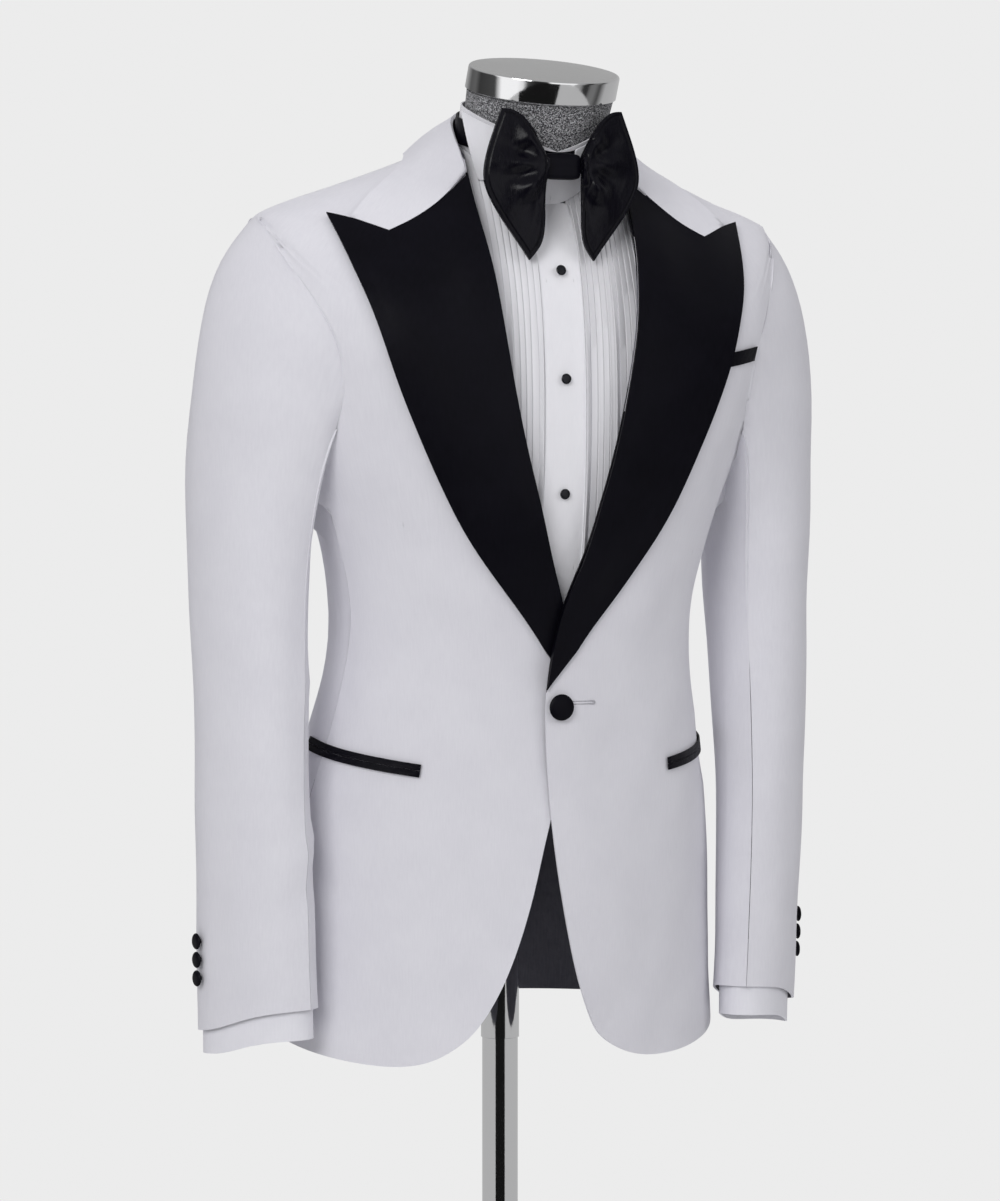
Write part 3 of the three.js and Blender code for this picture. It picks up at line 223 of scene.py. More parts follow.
class Nodes:
    """A tree of shader nodes, with short ways to add and join them."""

    def __init__(self, tree: NodeTree) -> None:
        """Takes up the tree."""
        self.tree = tree

    def feed(self, socket: NodeSocket, value: object) -> None:
        """Joins a socket to another one, or sets its own value."""
        if isinstance(value, NodeSocket):
            self.tree.links.new(value, socket)
        else:
            socket.default_value = value

    def node(self, kind: str, feeds: dict | None = None, **settings: object) -> bpy.types.Node:
        """Adds a node.

        Args:
            kind: the node's type, without the word ShaderNode.
            feeds: for each input, by name or number, a socket or a value.
            settings: the node's own settings.

        Returns:
            The node.
        """
        made = self.tree.nodes.new("ShaderNode" + kind)
        for name, value in settings.items():
            setattr(made, name, value)
        for name, value in (feeds or {}).items():
            self.feed(made.inputs[name], value)
        return made

    def math(self, operation: str, *terms: object, clamp: bool = False) -> NodeSocket:
        """The result of a Math node on sockets or numbers."""
        return self.node("Math", dict(enumerate(terms)), operation=operation, use_clamp=clamp).outputs[0]

    def vector(self, operation: str, *terms: object, output: str = "Vector") -> NodeSocket:
        """The result of a Vector Math node on sockets or vectors."""
        return self.node("VectorMath", dict(enumerate(terms)), operation=operation).outputs[output]

    def blend(self, share: object, first: object, second: object) -> NodeSocket:
        """A colour between two colours."""
        return self.node("Mix", {0: share, 6: first, 7: second}, data_type="RGBA").outputs[2]

    def spread(
        self, value: object, low: float, high: float, to_low: float = 0.0, to_high: float = 1.0
    ) -> NodeSocket:
        """Maps low..high to to_low..to_high, held at both ends."""
        return self.node("MapRange", dict(enumerate((value, low, high, to_low, to_high)))).outputs[0]

    def light(self, colour: object, strength: float = 1.0) -> NodeSocket:
        """A light that comes from all round."""
        return self.node("Background", {0: colour, 1: strength}).outputs[0]

    def either(self, share: NodeSocket, first: object, second: object) -> NodeSocket:
        """A mix of two lights by a share."""
        return self.node("MixShader", {0: share, 1: first, 2: second}).outputs[0]


class Board(Nodes):
    """A material's nodes."""

    def __init__(self, name: str) -> None:
        """Starts a material with that name and its shader."""
        self.material = bpy.data.materials.new(name)
        self.material.use_nodes = True
        super().__init__(self.material.node_tree)
        self.shader = self.tree.nodes["Principled BSDF"]

    def place(self, name: str = "Object") -> NodeSocket:
        """A place on the piece, in its own metres, or laid flat when UV is named."""
        return self.node("TexCoord").outputs[name]

    def noise(self, where: object, scale: float, detail: float = 2, rough: float = 0.5) -> NodeSocket:
        """A noise between 0 and 1, so many to the metre."""
        feeds = {"Vector": where, "Scale": scale, "Detail": detail, "Roughness": rough}
        return self.node("TexNoise", feeds).outputs[0]

    def bump(self, height: object, distance: float, under: object | None = None) -> NodeSocket:
        """A normal raised by a height of so many metres."""
        feeds = {"Height": height, "Distance": distance, "Strength": 1.0}
        if under is not None:
            feeds["Normal"] = under
        return self.node("Bump", feeds).outputs[0]

    def finish(self, **sockets: object) -> Material:
        """Feeds the shader's sockets, named with _ for a space, and gives the material."""
        for name, value in sockets.items():
            self.feed(self.shader.inputs[name.replace("_", " ")], value)
        return self.material


@dataclass(frozen=True)
class Groove:
    """A sewn or pressed line on the cloth, by its ends in the row frame."""

    start: Point
    end: Point
    width: float = 0.9 * MM

    def depth(self, board: Board) -> NodeSocket:
        """How far into the line each place is, from 0 to 1."""
        start, run = Vector(self.start), Vector(self.end) - Vector(self.start)
        rel = board.vector("SUBTRACT", board.place(), start)
        dot = board.vector("DOT_PRODUCT", rel, run, output="Value")
        share = board.math("MULTIPLY", dot, 1 / run.length_squared, clamp=True)
        nearest = board.node("VectorMath", {0: tuple(run), "Scale": share}, operation="SCALE").outputs[0]
        distance = board.vector("DISTANCE", rel, nearest, output="Value")
        return board.spread(distance, 0.0, self.width, 1.0, 0.0)


@dataclass(frozen=True)
class Woven:
    """A woven cloth: its colour, its threads, how it takes the light, and the shade painted along its sewn
    lines and under its tucks.
    """

    name: str
    colour: Colour
    shade: Colour
    weave: Weave
    pitch: float
    relief: float
    rough: float
    specular: float
    sheen: float
    sheen_rough: float = 0.5
    slack: float = 0.25 * MM
    slack_pitch: float = 45.0
    border: float = 0.0
    lip: float = 0.0
    pucker: float = 0.12 * MM
    grooves: tuple[Groove, ...] = ()

    def threads(self, board: Board) -> NodeSocket:
        """The height of the crossing threads, from -1 to 1."""
        u, v, _ = board.node("SeparateXYZ", {0: board.place("UV")}).outputs
        across = board.math("MULTIPLY", u, TAU / self.pitch)
        up = board.math("MULTIPLY", v, TAU / self.pitch)
        if self.weave is Weave.PLAIN:
            return board.math("MULTIPLY", board.math("SINE", across), board.math("SINE", up))
        climb = board.math("MULTIPLY", up, THREAD_LEAN[self.weave])
        return board.math("SINE", board.math("ADD", across, climb))

    def make(self) -> Material:
        """The cloth as a material."""
        board = Board(self.name)
        threads = self.threads(board)
        cloudy = board.noise(board.place(), CLOUDS, 3)
        slub = board.noise(board.vector("MULTIPLY", board.place("UV"), (1.0, 0.12, 1.0)), SLUBS, 2)
        tone = board.math("ADD", board.math("MULTIPLY", cloudy, 0.5), board.math("MULTIPLY", slub, 0.5))
        colour = board.blend(board.spread(tone, 0.36, 0.64), opaque(self.shade), opaque(self.colour))
        normal = board.bump(board.noise(board.place(), self.slack_pitch, 3, 0.55), self.slack * NOISE_SWING)
        edge = board.node("Attribute", attribute_name="rim").outputs["Fac"]
        near_edge = board.spread(edge, 0.0, PUCKER_REACH, 1.0, 0.0)
        puckers = board.math("MULTIPLY", board.noise(board.place(), PUCKERS, 2), near_edge)
        normal = board.bump(puckers, self.pucker * NOISE_SWING, normal)
        if self.border:
            line = board.math("ABSOLUTE", board.math("SUBTRACT", edge, self.border))
            normal = board.bump(board.spread(line, 0.0, LINE_DIP, -1.0, 0.0), LINE_DEPTH, normal)
            # Painted shade in the border seam's dip: along the line the colour is darkened, besides the
            # bump.
            seam = board.spread(line, 0.0, SEAM_SHADE_WIDE, 0.75, 0.0)
            colour = board.blend(seam, colour, opaque(self.shade, 0.3))
        # Painted shadow under the tucks' folded edges: near the rim the colour is darkened towards a share
        # of the shade tone.
        if self.lip:
            under = board.spread(edge, TUCK_SHADOW_START, self.lip, 0.55, 0.0)
            colour = board.blend(under, colour, opaque(self.shade, 0.42))
        for groove in self.grooves:
            depth = groove.depth(board)
            normal = board.bump(board.math("MULTIPLY", depth, -1.0), LINE_DEPTH, normal)
            # Painted shade in the sewn line's dip: along the groove the colour is darkened, besides the
            # bump.
            colour = board.blend(board.math("MULTIPLY", depth, 0.22), colour, opaque(self.shade, 0.45))
        normal = board.bump(threads, self.relief, normal)
        return board.finish(
            Base_Color=colour,
            Normal=normal,
            Roughness=board.spread(slub, 0.3, 0.7, self.rough - 0.05, self.rough + 0.05),
            Specular_IOR_Level=self.specular,
            Sheen_Weight=self.sheen,
            Sheen_Roughness=self.sheen_rough,
        )


@dataclass(frozen=True)
class Heather:
    """The form's cover: light and dark yarns mixed in a coarse plain weave."""

    name: str = "Heather"
    dark: Colour = (0.016, 0.016, 0.019)
    light: Colour = (0.62, 0.62, 0.64)
    grain: float = 1050.0
    relief: float = 0.5 * MM

    def make(self) -> Material:
        """The cover as a material."""
        board = Board(self.name)
        place = board.place()
        weft = board.noise(board.vector("MULTIPLY", place, (0.6, 0.6, 1.5)), self.grain, 2, 0.65)
        warp = board.noise(board.vector("MULTIPLY", place, (1.5, 1.5, 0.6)), self.grain, 2, 0.65)
        fleck = board.math("MULTIPLY", board.math("ADD", weft, warp), 0.5)
        colour = board.blend(board.spread(fleck, 0.47, 0.60), opaque(self.dark), opaque(self.light))
        normal = board.bump(fleck, self.relief)
        return board.finish(
            Base_Color=colour, Normal=normal, Roughness=0.9, Specular_IOR_Level=0.2, Sheen_Weight=0.15
        )


@dataclass(frozen=True)
class Metal:
    """A plated part: bright, or brushed along one way."""

    name: str
    colour: Colour
    rough: float
    brush: tuple[float, float, float] = (1.0, 1.0, 1.0)
    relief: float = 0.01 * MM

    def make(self) -> Material:
        """The metal as a material."""
        board = Board(self.name)
        marks = board.noise(board.vector("MULTIPLY", board.place(), self.brush), 900, 2, 0.6)
        wear = board.noise(board.place(), 22, 3)
        rough = board.spread(board.math("ADD", marks, wear), 0.7, 1.3, self.rough * 0.75, self.rough * 1.3)
        normal = board.bump(marks, self.relief)
        return board.finish(Base_Color=opaque(self.colour), Metallic=1.0, Roughness=rough, Normal=normal)


@dataclass(frozen=True)
class Enamel:
    """The studs' polished black stone."""

    name: str = "Stud black"
    colour: Colour = (0.006, 0.006, 0.008)
    cloud: Colour = (0.015, 0.015, 0.02)

    def make(self) -> Material:
        """The stone as a material."""
        board = Board(self.name)
        cloudy = board.noise(board.place(), 400, 2)
        colour = board.blend(board.spread(cloudy, 0.3, 0.7), opaque(self.colour), opaque(self.cloud))
        rough = board.spread(cloudy, 0.3, 0.7, 0.12, 0.2)
        return board.finish(Base_Color=colour, Roughness=rough, Specular_IOR_Level=0.2)


WOOL = Woven(
    "Wool",
    colour=(0.735, 0.728, 0.775),
    shade=(0.700, 0.692, 0.742),
    weave=Weave.TWILL,
    pitch=0.55 * MM,
    relief=0.012 * MM,
    rough=0.78,
    specular=0.25,
    sheen=0.12,
    slack=0.12 * MM,
)
SATIN = Woven(
    "Satin",
    colour=(0.0034, 0.0030, 0.0062),
    shade=(0.0020, 0.0018, 0.0040),
    weave=Weave.SATIN,
    pitch=0.4 * MM,
    relief=0.006 * MM,
    rough=0.40,
    specular=0.10,
    sheen=0.0,
    slack=0.05 * MM,
)
BOW_SATIN = replace(
    SATIN, name="Bow satin", rough=0.27, specular=0.15, border=3.1 * MM, slack=0.30 * MM, slack_pitch=48
)
COTTON = Woven(
    "Cotton",
    colour=(0.875, 0.870, 0.905),
    shade=(0.845, 0.840, 0.878),
    weave=Weave.PLAIN,
    pitch=0.45 * MM,
    relief=0.01 * MM,
    rough=0.8,
    specular=0.25,
    sheen=0.05,
    slack=0.1 * MM,
)
# The cuffs' cotton is the shirt's cotton made darker, as painted shade on the cuffs.
SHADED_CUFF_COTTON = replace(
    COTTON, name="Shaded cuff cotton", colour=(0.790, 0.785, 0.830), shade=(0.755, 0.750, 0.800)
)
LINING = Woven(
    "Lining",
    colour=(0.085, 0.083, 0.105),
    shade=(0.060, 0.058, 0.078),
    weave=Weave.TWILL,
    pitch=0.4 * MM,
    relief=0.006 * MM,
    rough=0.45,
    specular=0.4,
    sheen=0.1,
    slack=0.3 * MM,
)
THREAD = replace(
    WOOL,
    name="Buttonhole thread",
    colour=(0.60, 0.595, 0.64),
    shade=(0.42, 0.415, 0.45),
    pitch=0.9 * MM,
    relief=0.15 * MM,
    rough=0.6,
    sheen=0.0,
)


class Cloths:
    """Every finish of the garment and its form, made once."""

    def __init__(self) -> None:
        """Makes the finishes."""
        self.wool = WOOL.make()
        self.satin = SATIN.make()
        self.bow = BOW_SATIN.make()
        self.cotton = COTTON.make()
        # The tucks' cotton carries a painted shadow under each folded edge.
        self.tucked = replace(COTTON, name="Tucked cotton", lip=TUCK_SHADE, pucker=0.0).make()
        # The cuffs' finish is darkened cotton: painted shade.
        self.cuff = SHADED_CUFF_COTTON.make()
        self.thread = THREAD.make()
        self.lining = LINING.make()
        self.heather = Heather().make()
        self.chrome = Metal("Chrome", (0.86, 0.86, 0.87), 0.07).make()
        self.brushed = Metal("Brushed", (0.82, 0.82, 0.82), 0.40, (1.0, 0.12, 1.0), 0.03 * MM).make()
        self.stone = Enamel().make()

    @staticmethod
    def lined(cloth: Woven, name: str, *grooves: Groove) -> Material:
        """A cloth with a piece's own sewn lines."""
        return replace(cloth, name=name, grooves=grooves).make()


@dataclass(frozen=True)
class Cut:
    """The flat cut of a sheet of cloth, in metres, and how it is held."""

    width: float
    length: float
    area: float
    held: Held
    rests_on: tuple[str, ...]


@dataclass
class Piece:
    """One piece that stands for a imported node: smoothed, folded and dressed."""

    node: str
    finish: Material
    slot: str
    core: Core = BODY
    levels: int = 2
    folds: Sequence[Fold] = ()
    wave: float = 0.0
    wave_pitch: float = 0.13
    rim_turn: float = RIM_TURN
    seam: float = SEAM_HALF
    sewn_to: tuple[str, ...] = ()
    lap: float = 0.9 * MM
    sewn_foot: float = 1.12
    inside: Material | None = None
    cut: Cut | None = None

    def smooth(self) -> Mesh:
        """The node's shape with its facets rounded and its edges kept."""
        shape = bmesh.new()
        shape.from_mesh(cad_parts[self.node].data)
        bmesh.ops.remove_doubles(shape, verts=shape.verts[:], dist=MERGE)
        bmesh.ops.join_triangles(
            shape,
            faces=shape.faces[:],
            angle_face_threshold=JOIN_TURN,
            angle_shape_threshold=JOIN_SKEW,
        )
        crease = shape.edges.layers.float.new("crease_edge")
        for edge in sharp_edges(shape, self.rim_turn):
            edge[crease] = 1.0
        if self.cut:
            self.close_seams(shape, crease)
        mesh = as_mesh(shape, self.node + "_cage")
        holder = put(mesh.name, mesh)
        step = holder.modifiers.new("Smooth", "SUBSURF")
        step.levels = step.render_levels = self.levels
        graph = bpy.context.evaluated_depsgraph_get()
        made = bpy.data.meshes.new_from_object(holder.evaluated_get(graph))
        bpy.data.objects.remove(holder)
        bpy.data.meshes.remove(mesh)
        return made

    def close_seams(self, shape: BMesh, crease: bmesh.types.BMLayerItem) -> None:
        """Moves the wall's cut edges out by half a seam, so that sewn neighbours meet.

        Args:
            shape: the wall's cage.
            crease: its layer of creased edges.
        """
        small = [face for face in shape.faces if face.calc_area() < RIM_AREA]
        ways = {}
        for face in [face for face in small if sum(edge[crease] > 0 for edge in face.edges) >= 2]:
            for vert in face.verts:
                ways[vert] = ways.get(vert, Vector()) + face.normal
        for vert, way in ways.items():
            vert.co += way.normalized() * self.seam

    def sew(self, mesh: Mesh) -> np.ndarray:
        """Draws the cut edge that runs along its sewn neighbours to them, and keeps it in the outer cloth.

        Args:
            mesh: the bent wall.

        Returns:
            The points of the wall.
        """
        shape = bmesh.new()
        shape.from_mesh(mesh)
        rims = set(sharp_edges(shape, SHARP_TURN))
        meshes = [bpy.data.objects[node + "_cloth"].data for node in self.sewn_to]
        others = []
        for other in meshes:
            faces = [tuple(face.vertices) for face in other.polygons]
            others.append(BVHTree.FromPolygons([vert.co for vert in other.vertices], faces))
        moves = {}
        for vert in {vert for edge in rims for vert in edge.verts}:
            spots = [other.find_nearest(vert.co, SEWN_NEAR)[0] for other in others]
            gaps = [spot - vert.co for spot in spots if spot]
            if not gaps or vert.co.z < self.sewn_foot:
                continue
            gap = min(gaps, key=lambda g: g.length)
            way = gap.normalized()
            runs = [(e.other_vert(vert).co - vert.co).normalized() for e in vert.link_edges if e in rims]
            if min(abs(way.dot(run)) for run in runs) < SEWN_ACROSS:
                moves[vert] = gap + way * self.lap
        for vert, move in moves.items():
            vert.co += move
            for face in vert.link_faces:
                face.material_index = 0
        shape.to_mesh(mesh)
        shape.free()
        return np.array([vert.co for vert in mesh.vertices])

    def bend(self, mesh: Mesh) -> np.ndarray:
        """Moves the wall out and in by its folds.

        Args:
            mesh: the smoothed wall.

        Returns:
            The points of the wall.
        """
        flat = np.empty(len(mesh.vertices) * 3)
        mesh.vertices.foreach_get("co", flat)
        points = flat.reshape(-1, 3)
        lift = sum((fold.lift(points) for fold in self.folds), np.zeros(len(points)))
        if self.wave:
            lift += self.wave * unevenness(points, self.wave_pitch)
        points = points + self.core.outward(points) * lift[:, None]
        mesh.vertices.foreach_set("co", points.ravel())
        return points

    def mark(self, mesh: Mesh, points: np.ndarray) -> None:
        """Lays the wall flat for its weave and measures each point's way to the nearest edge.

        Args:
            mesh: the bent wall.
            points: its points.
        """
        shape = bmesh.new()
        shape.from_mesh(mesh)
        rims = sharp_edges(shape, SHARP_TURN)
        near = KDTree(max(1, 2 * len(rims)))
        for edge in rims:
            for vert in edge.verts:
                near.insert(vert.co, vert.index)
        near.balance()
        shape.free()
        away = [near.find(p)[2] if rims else 1.0 for p in points]
        mesh.attributes.new("rim", "FLOAT", "POINT").data.foreach_set("value", np.array(away, np.float32))
        flat = self.core.unroll(points)
        corners = np.empty(len(mesh.loops), np.int32)
        mesh.loops.foreach_get("vertex_index", corners)
        layer = mesh.uv_layers.new(name="Flat")
        layer.data.foreach_set("uv", flat[corners].astype(np.float32).ravel())

    def line_inside(self, mesh: Mesh) -> None:
        """Gives the faces that look at the core the inside finish."""
        count = len(mesh.polygons)
        centres, normals = np.empty(count * 3), np.empty(count * 3)
        mesh.polygons.foreach_get("center", centres)
        mesh.polygons.foreach_get("normal", normals)
        outward = self.core.outward(centres.reshape(-1, 3))
        inner = (outward * normals.reshape(-1, 3)).sum(1) < INWARD
        mesh.polygons.foreach_set("material_index", inner.astype(np.int32))

    def build(self) -> Object:
        """Makes the piece and puts it in the node's place."""
        mesh = self.smooth()
        points = self.bend(mesh)
        mesh.materials.clear()
        mesh.materials.append(self.finish)
        if self.inside:
            mesh.materials.append(self.inside)
            self.line_inside(mesh)
        if self.sewn_to:
            points = self.sew(mesh)
        self.mark(mesh, points)
        mesh.shade_smooth()
        mesh.set_sharp_from_angle(angle=SHARP_TURN)
        made = put(self.node + "_cloth" if self.cut else self.node + "_part", mesh)
        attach(made, ROOT)
        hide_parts(self.node)
        return made


def worn(rows: Sequence[tuple[Point, Point, float, float]]) -> list[Fold]:
    """The folds of a table whose rows give the ends in metres and the width and height in millimetres."""
    return [Fold(start, end, width * MM, height * MM) for start, end, width, height in rows]


def both(rows: Sequence[tuple[Point, Point, float, float]], share: float) -> list[Fold]:
    """The folds of a table, and the same ones on the other side, as high as the share says."""
    folds = worn(rows)
    return [*folds, *(fold.mirrored(share) for fold in folds)]


WAIST = both([((0.165, 0.0, 1.27), (0.165, 0.0, 0.93), 60, -6.0)], 1.25)
JACKET_FOLDS = WAIST + both(
    [
        ((0.07, -0.13, 1.02), (0.15, -0.07, 0.90), 26, 2.2),
        ((0.04, -0.14, 0.985), (0.10, -0.12, 0.80), 24, -1.9),
        ((0.03, -0.145, 1.03), (0.12, -0.10, 1.12), 18, 1.5),
        ((0.155, -0.02, 1.17), (0.15, -0.04, 0.99), 18, -1.6),
        ((0.14, -0.09, 1.33), (0.12, -0.11, 1.14), 20, 1.6),
        ((0.13, 0.07, 1.28), (0.105, 0.085, 1.05), 26, 3.8),
        ((0.10, 0.09, 1.33), (0.06, 0.10, 1.12), 22, -3.2),
        ((0.05, 0.105, 1.10), (0.07, 0.11, 0.85), 28, 3.4),
        ((0.12, 0.08, 1.02), (0.13, 0.085, 0.80), 24, -3.0),
        ((0.02, 0.10, 1.05), (0.12, 0.07, 1.075), 13, 2.3),
        ((0.03, 0.10, 1.02), (0.13, 0.07, 1.035), 12, -2.0),
        ((0.03, 0.09, 1.41), (0.13, 0.03, 1.40), 16, -1.6),
    ],
    0.75,
)
SLEEVE_FOLDS = worn(
    [
        ((0.175, -0.09, 1.27), (0.185, -0.06, 0.98), 13, 2.2),
        ((0.20, -0.08, 1.30), (0.215, -0.07, 1.05), 16, -1.7),
        ((0.17, -0.04, 1.03), (0.20, -0.075, 1.005), 9, 1.3),
        ((0.172, -0.045, 0.905), (0.205, -0.085, 0.872), 9, 2.6),
        ((0.175, -0.055, 0.872), (0.218, -0.085, 0.838), 9, -2.3),
        ((0.25, 0.02, 1.28), (0.262, -0.01, 1.02), 15, 1.7),
        ((0.21, 0.045, 1.22), (0.225, 0.035, 0.99), 14, -1.7),
        ((0.20, 0.04, 1.06), (0.25, 0.02, 1.03), 9, 1.4),
        ((0.20, 0.035, 1.01), (0.25, 0.015, 0.985), 10, -1.3),
        ((0.235, -0.06, 0.95), (0.245, -0.05, 0.80), 13, 1.2),
    ]
)


@dataclass
class Buttonhole:
    """A worked buttonhole: two rows of close stitches round a slit, laid on the cloth."""

    thread: Material
    ground: Object
    middle: tuple[float, float] = (0.0170, 1.0020)
    length: float = 29 * MM
    width: float = 3.4 * MM
    slit: float = 0.8 * MM
    rise: float = 0.8 * MM
    clear: float = 0.05 * MM
    rounds: tuple[tuple[float, float], ...] = ((0.5, 1.0), (0.8, 1.0), (1.0, 0.1))

    def build(self) -> Object:
        """Lays the buttonhole on its ground."""
        tree = BVHTree.FromObject(self.ground, bpy.context.evaluated_depsgraph_get())
        shape = bmesh.new()
        bmesh.ops.create_circle(shape, segments=48, radius=self.slit / 2)
        straight = (self.length - self.width) / 2
        for vert in shape.verts:
            vert.co.x += math.copysign(straight, vert.co.x)
        ring = shape.edges[:]
        for wide, rise in self.rounds:
            grown = bmesh.ops.extrude_edge_only(shape, edges=ring)["geom"]
            verts = {g for g in grown if isinstance(g, BMVert)}
            ring = [g for g in grown if isinstance(g, BMEdge) and set(g.verts) <= verts]
            for vert in verts:
                end = Vector((math.copysign(straight, vert.co.x), 0, 0))
                way = (Vector((vert.co.x, vert.co.y, 0)) - end).normalized()
                if abs(vert.co.x) < straight:
                    way = Vector((0, math.copysign(1, vert.co.y), 0))
                    end.x = vert.co.x
                vert.co = end + way * (self.width / 2 * wide) + Vector((0, 0, rise * self.rise))
        for vert in shape.verts:
            along, across, rise = vert.co
            origin = Vector((self.middle[0] + along, FRONT_Y, self.middle[1] + across))
            spot, normal, _, _ = tree.ray_cast(origin, BACKWARD)
            vert.co = spot + normal * (rise + self.clear)
        shape.normal_update()
        if sum(face.normal.y for face in shape.faces) > 0:
            bmesh.ops.reverse_faces(shape, faces=shape.faces[:])
        mesh = as_mesh(shape, self.ground.name.replace("_cloth", "") + "_buttonhole")
        mesh.materials.append(self.thread)
        flat = mesh.uv_layers.new(name="Flat")
        for loop in mesh.loops:
            spot = mesh.vertices[loop.vertex_index].co
            flat.data[loop.index].uv = (spot.x, spot.z)
        mesh.shade_smooth()
        made = put(mesh.name, mesh)
        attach(made, ROOT)
        return made


@dataclass
class Jacket:
    """The jacket's body, sleeves, collar, lapels and trims."""

    cloths: Cloths
    wave: float = 0.8 * MM
    roll_low: tuple[float, float] = (0.006, 1.0135)
    roll_high: tuple[float, float] = (0.062, 1.41)
    roll_wide: float = 9 * MM
    roll_turn: float = 1.5 * MM
    foot_x: float = 12.1 * MM
    foot_z: float = 1.0127
    foot_tall: float = 30 * MM
    foot_wide: float = 5.9 * MM
    foot_lean: float = 0.245
    foot_spread: float = 0.567
    foot_widen: float = 0.367
    foot_least: float = 0.06

    def body(self) -> list[Piece]:
        """The fronts, the side bodies, the backs and the collar."""
        wool, lining = self.cloths.wool, self.cloths.lining
        darts = {
            "left": Groove((0.1247, -0.098, 1.16), (0.1267, -0.10, 0.985)),
            "right": Groove((-0.1255, -0.105, 1.215), (-0.1201, -0.112, 0.976)),
        }
        fronts = {side: Cloths.lined(WOOL, "Wool front " + side, dart) for side, dart in darts.items()}
        shared = dict(slot="jacket_wool", folds=JACKET_FOLDS, wave=self.wave, inside=lining)
        collar = Cut(0.10, 0.44, 0.030, Held.FOLDED, ("jacket_back_left",))
        pieces = [Piece("jacket_collar", wool, cut=collar, **shared)]
        for side in ("left", "right"):
            front = Cut(0.29, 0.74, 0.131, Held.DRAPED, ("form_torso",))
            flank = Cut(0.125, 0.50, 0.0345, Held.DRAPED, ("jacket_front_" + side,))
            back = Cut(0.27, 0.72, 0.142, Held.DRAPED, ("form_torso",))
            sleeve = ("sleeve_top_" + side, "sleeve_under_" + side)
            pieces += [
                Piece("jacket_front_" + side, fronts[side], levels=3, cut=front, sewn_to=sleeve, **shared),
                Piece("jacket_side_" + side, wool, cut=flank, sewn_to=sleeve, **shared),
                Piece("jacket_back_" + side, wool, cut=back, sewn_to=sleeve, **shared),
            ]
        return pieces

    def sleeves(self) -> list[Piece]:
        """The two halves of each sleeve."""
        pieces = []
        for side, core, turn in (("left", SLEEVE_LEFT, 1), ("right", SLEEVE_RIGHT, -1)):
            folds = SLEEVE_FOLDS if turn > 0 else [fold.mirrored(1.15) for fold in SLEEVE_FOLDS]
            shared = dict(
                finish=self.cloths.wool,
                slot="jacket_wool",
                core=core,
                folds=folds,
                wave=0.9 * MM,
                wave_pitch=0.16,
                seam=1.4 * MM,
                inside=self.cloths.lining,
            )
            rests = ("jacket_front_" + side,)
            pieces += [
                Piece("sleeve_top_" + side, cut=Cut(0.21, 0.66, 0.101, Held.DRAPED, rests), **shared),
                Piece("sleeve_under_" + side, cut=Cut(0.16, 0.58, 0.066, Held.DRAPED, rests), **shared),
            ]
        return pieces

    def trims(self) -> list[Piece]:
        """The satin: lapels, pocket jets and welt, and the covered buttons."""
        satin = self.cloths.satin
        shared = dict(slot="black_satin", folds=JACKET_FOLDS, wave=self.wave)
        pieces = []
        for side in ("left", "right"):
            front = ("jacket_front_" + side,)
            lapel = Cut(0.115, 0.44, 0.029, Held.FOLDED, front)
            jet = Cut(0.010, 0.11, 0.0008, Held.FOLDED, front)
            pieces += [
                Piece("lapel_" + side, satin, levels=3, cut=lapel, **shared),
                Piece("hip_jet_upper_" + side, satin, cut=jet, **shared),
                Piece("hip_jet_lower_" + side, satin, cut=jet, **shared),
            ]
            buttons = [f"sleeve_button_{side}_{n}" for n in (1, 2, 3)]
            pieces += [Piece(button, satin, "black_satin", rim_turn=ROUND_TURN) for button in buttons]
        welt = Cut(0.013, 0.105, 0.0011, Held.FOLDED, ("jacket_front_left",))
        pieces.append(Piece("breast_welt", satin, cut=welt, **shared))
        pieces.append(Piece("front_button", satin, "black_satin", rim_turn=ROUND_TURN))
        return pieces

    def build(self) -> None:
        """Builds every piece of the jacket."""
        for piece in (*self.sleeves(), *self.body(), *self.trims()):
            made = piece.build()
            if piece.node.startswith("jacket_front"):
                self.face_with_satin(made.data)
            if piece.node == "jacket_front_left":
                Buttonhole(self.cloths.thread, made).build()
            if piece.node.startswith("lapel"):
                self.point_foot(made.data, -1 if piece.node.endswith("left") else 1)
            log.info("jacket: %s", piece.node)

    def point_foot(self, lapel: Mesh, turn: int) -> None:
        """Draws the lapel's lower end in to a point at the front's edge."""
        for vert in lapel.vertices:
            up = vert.co.z - self.foot_z
            if up < self.foot_tall:
                edge = turn * (self.foot_x - self.foot_lean * up)
                rise = max(up, 0.0)
                share = self.foot_spread * rise / (self.foot_wide + self.foot_widen * rise)
                vert.co.x = edge + (vert.co.x - edge) * min(1.0, max(self.foot_least, share))

    def face_with_satin(self, front: Mesh) -> None:
        """Carries the lapel's satin round the front's rolled edge, from the button up."""
        front.materials.append(self.cloths.satin)
        away = front.attributes["rim"].data
        low, high = self.roll_low, self.roll_high
        for face in front.polygons:
            x, _, z = face.center
            share = (z - low[1]) / (high[1] - low[1])
            line = low[0] + (high[0] - low[0]) * share
            near = min(away[v].value for v in face.vertices) < self.roll_turn
            inner = face.material_index == 1
            if z > low[1] and abs(x) < line + self.roll_wide and (near or inner):
                face.material_index = 2


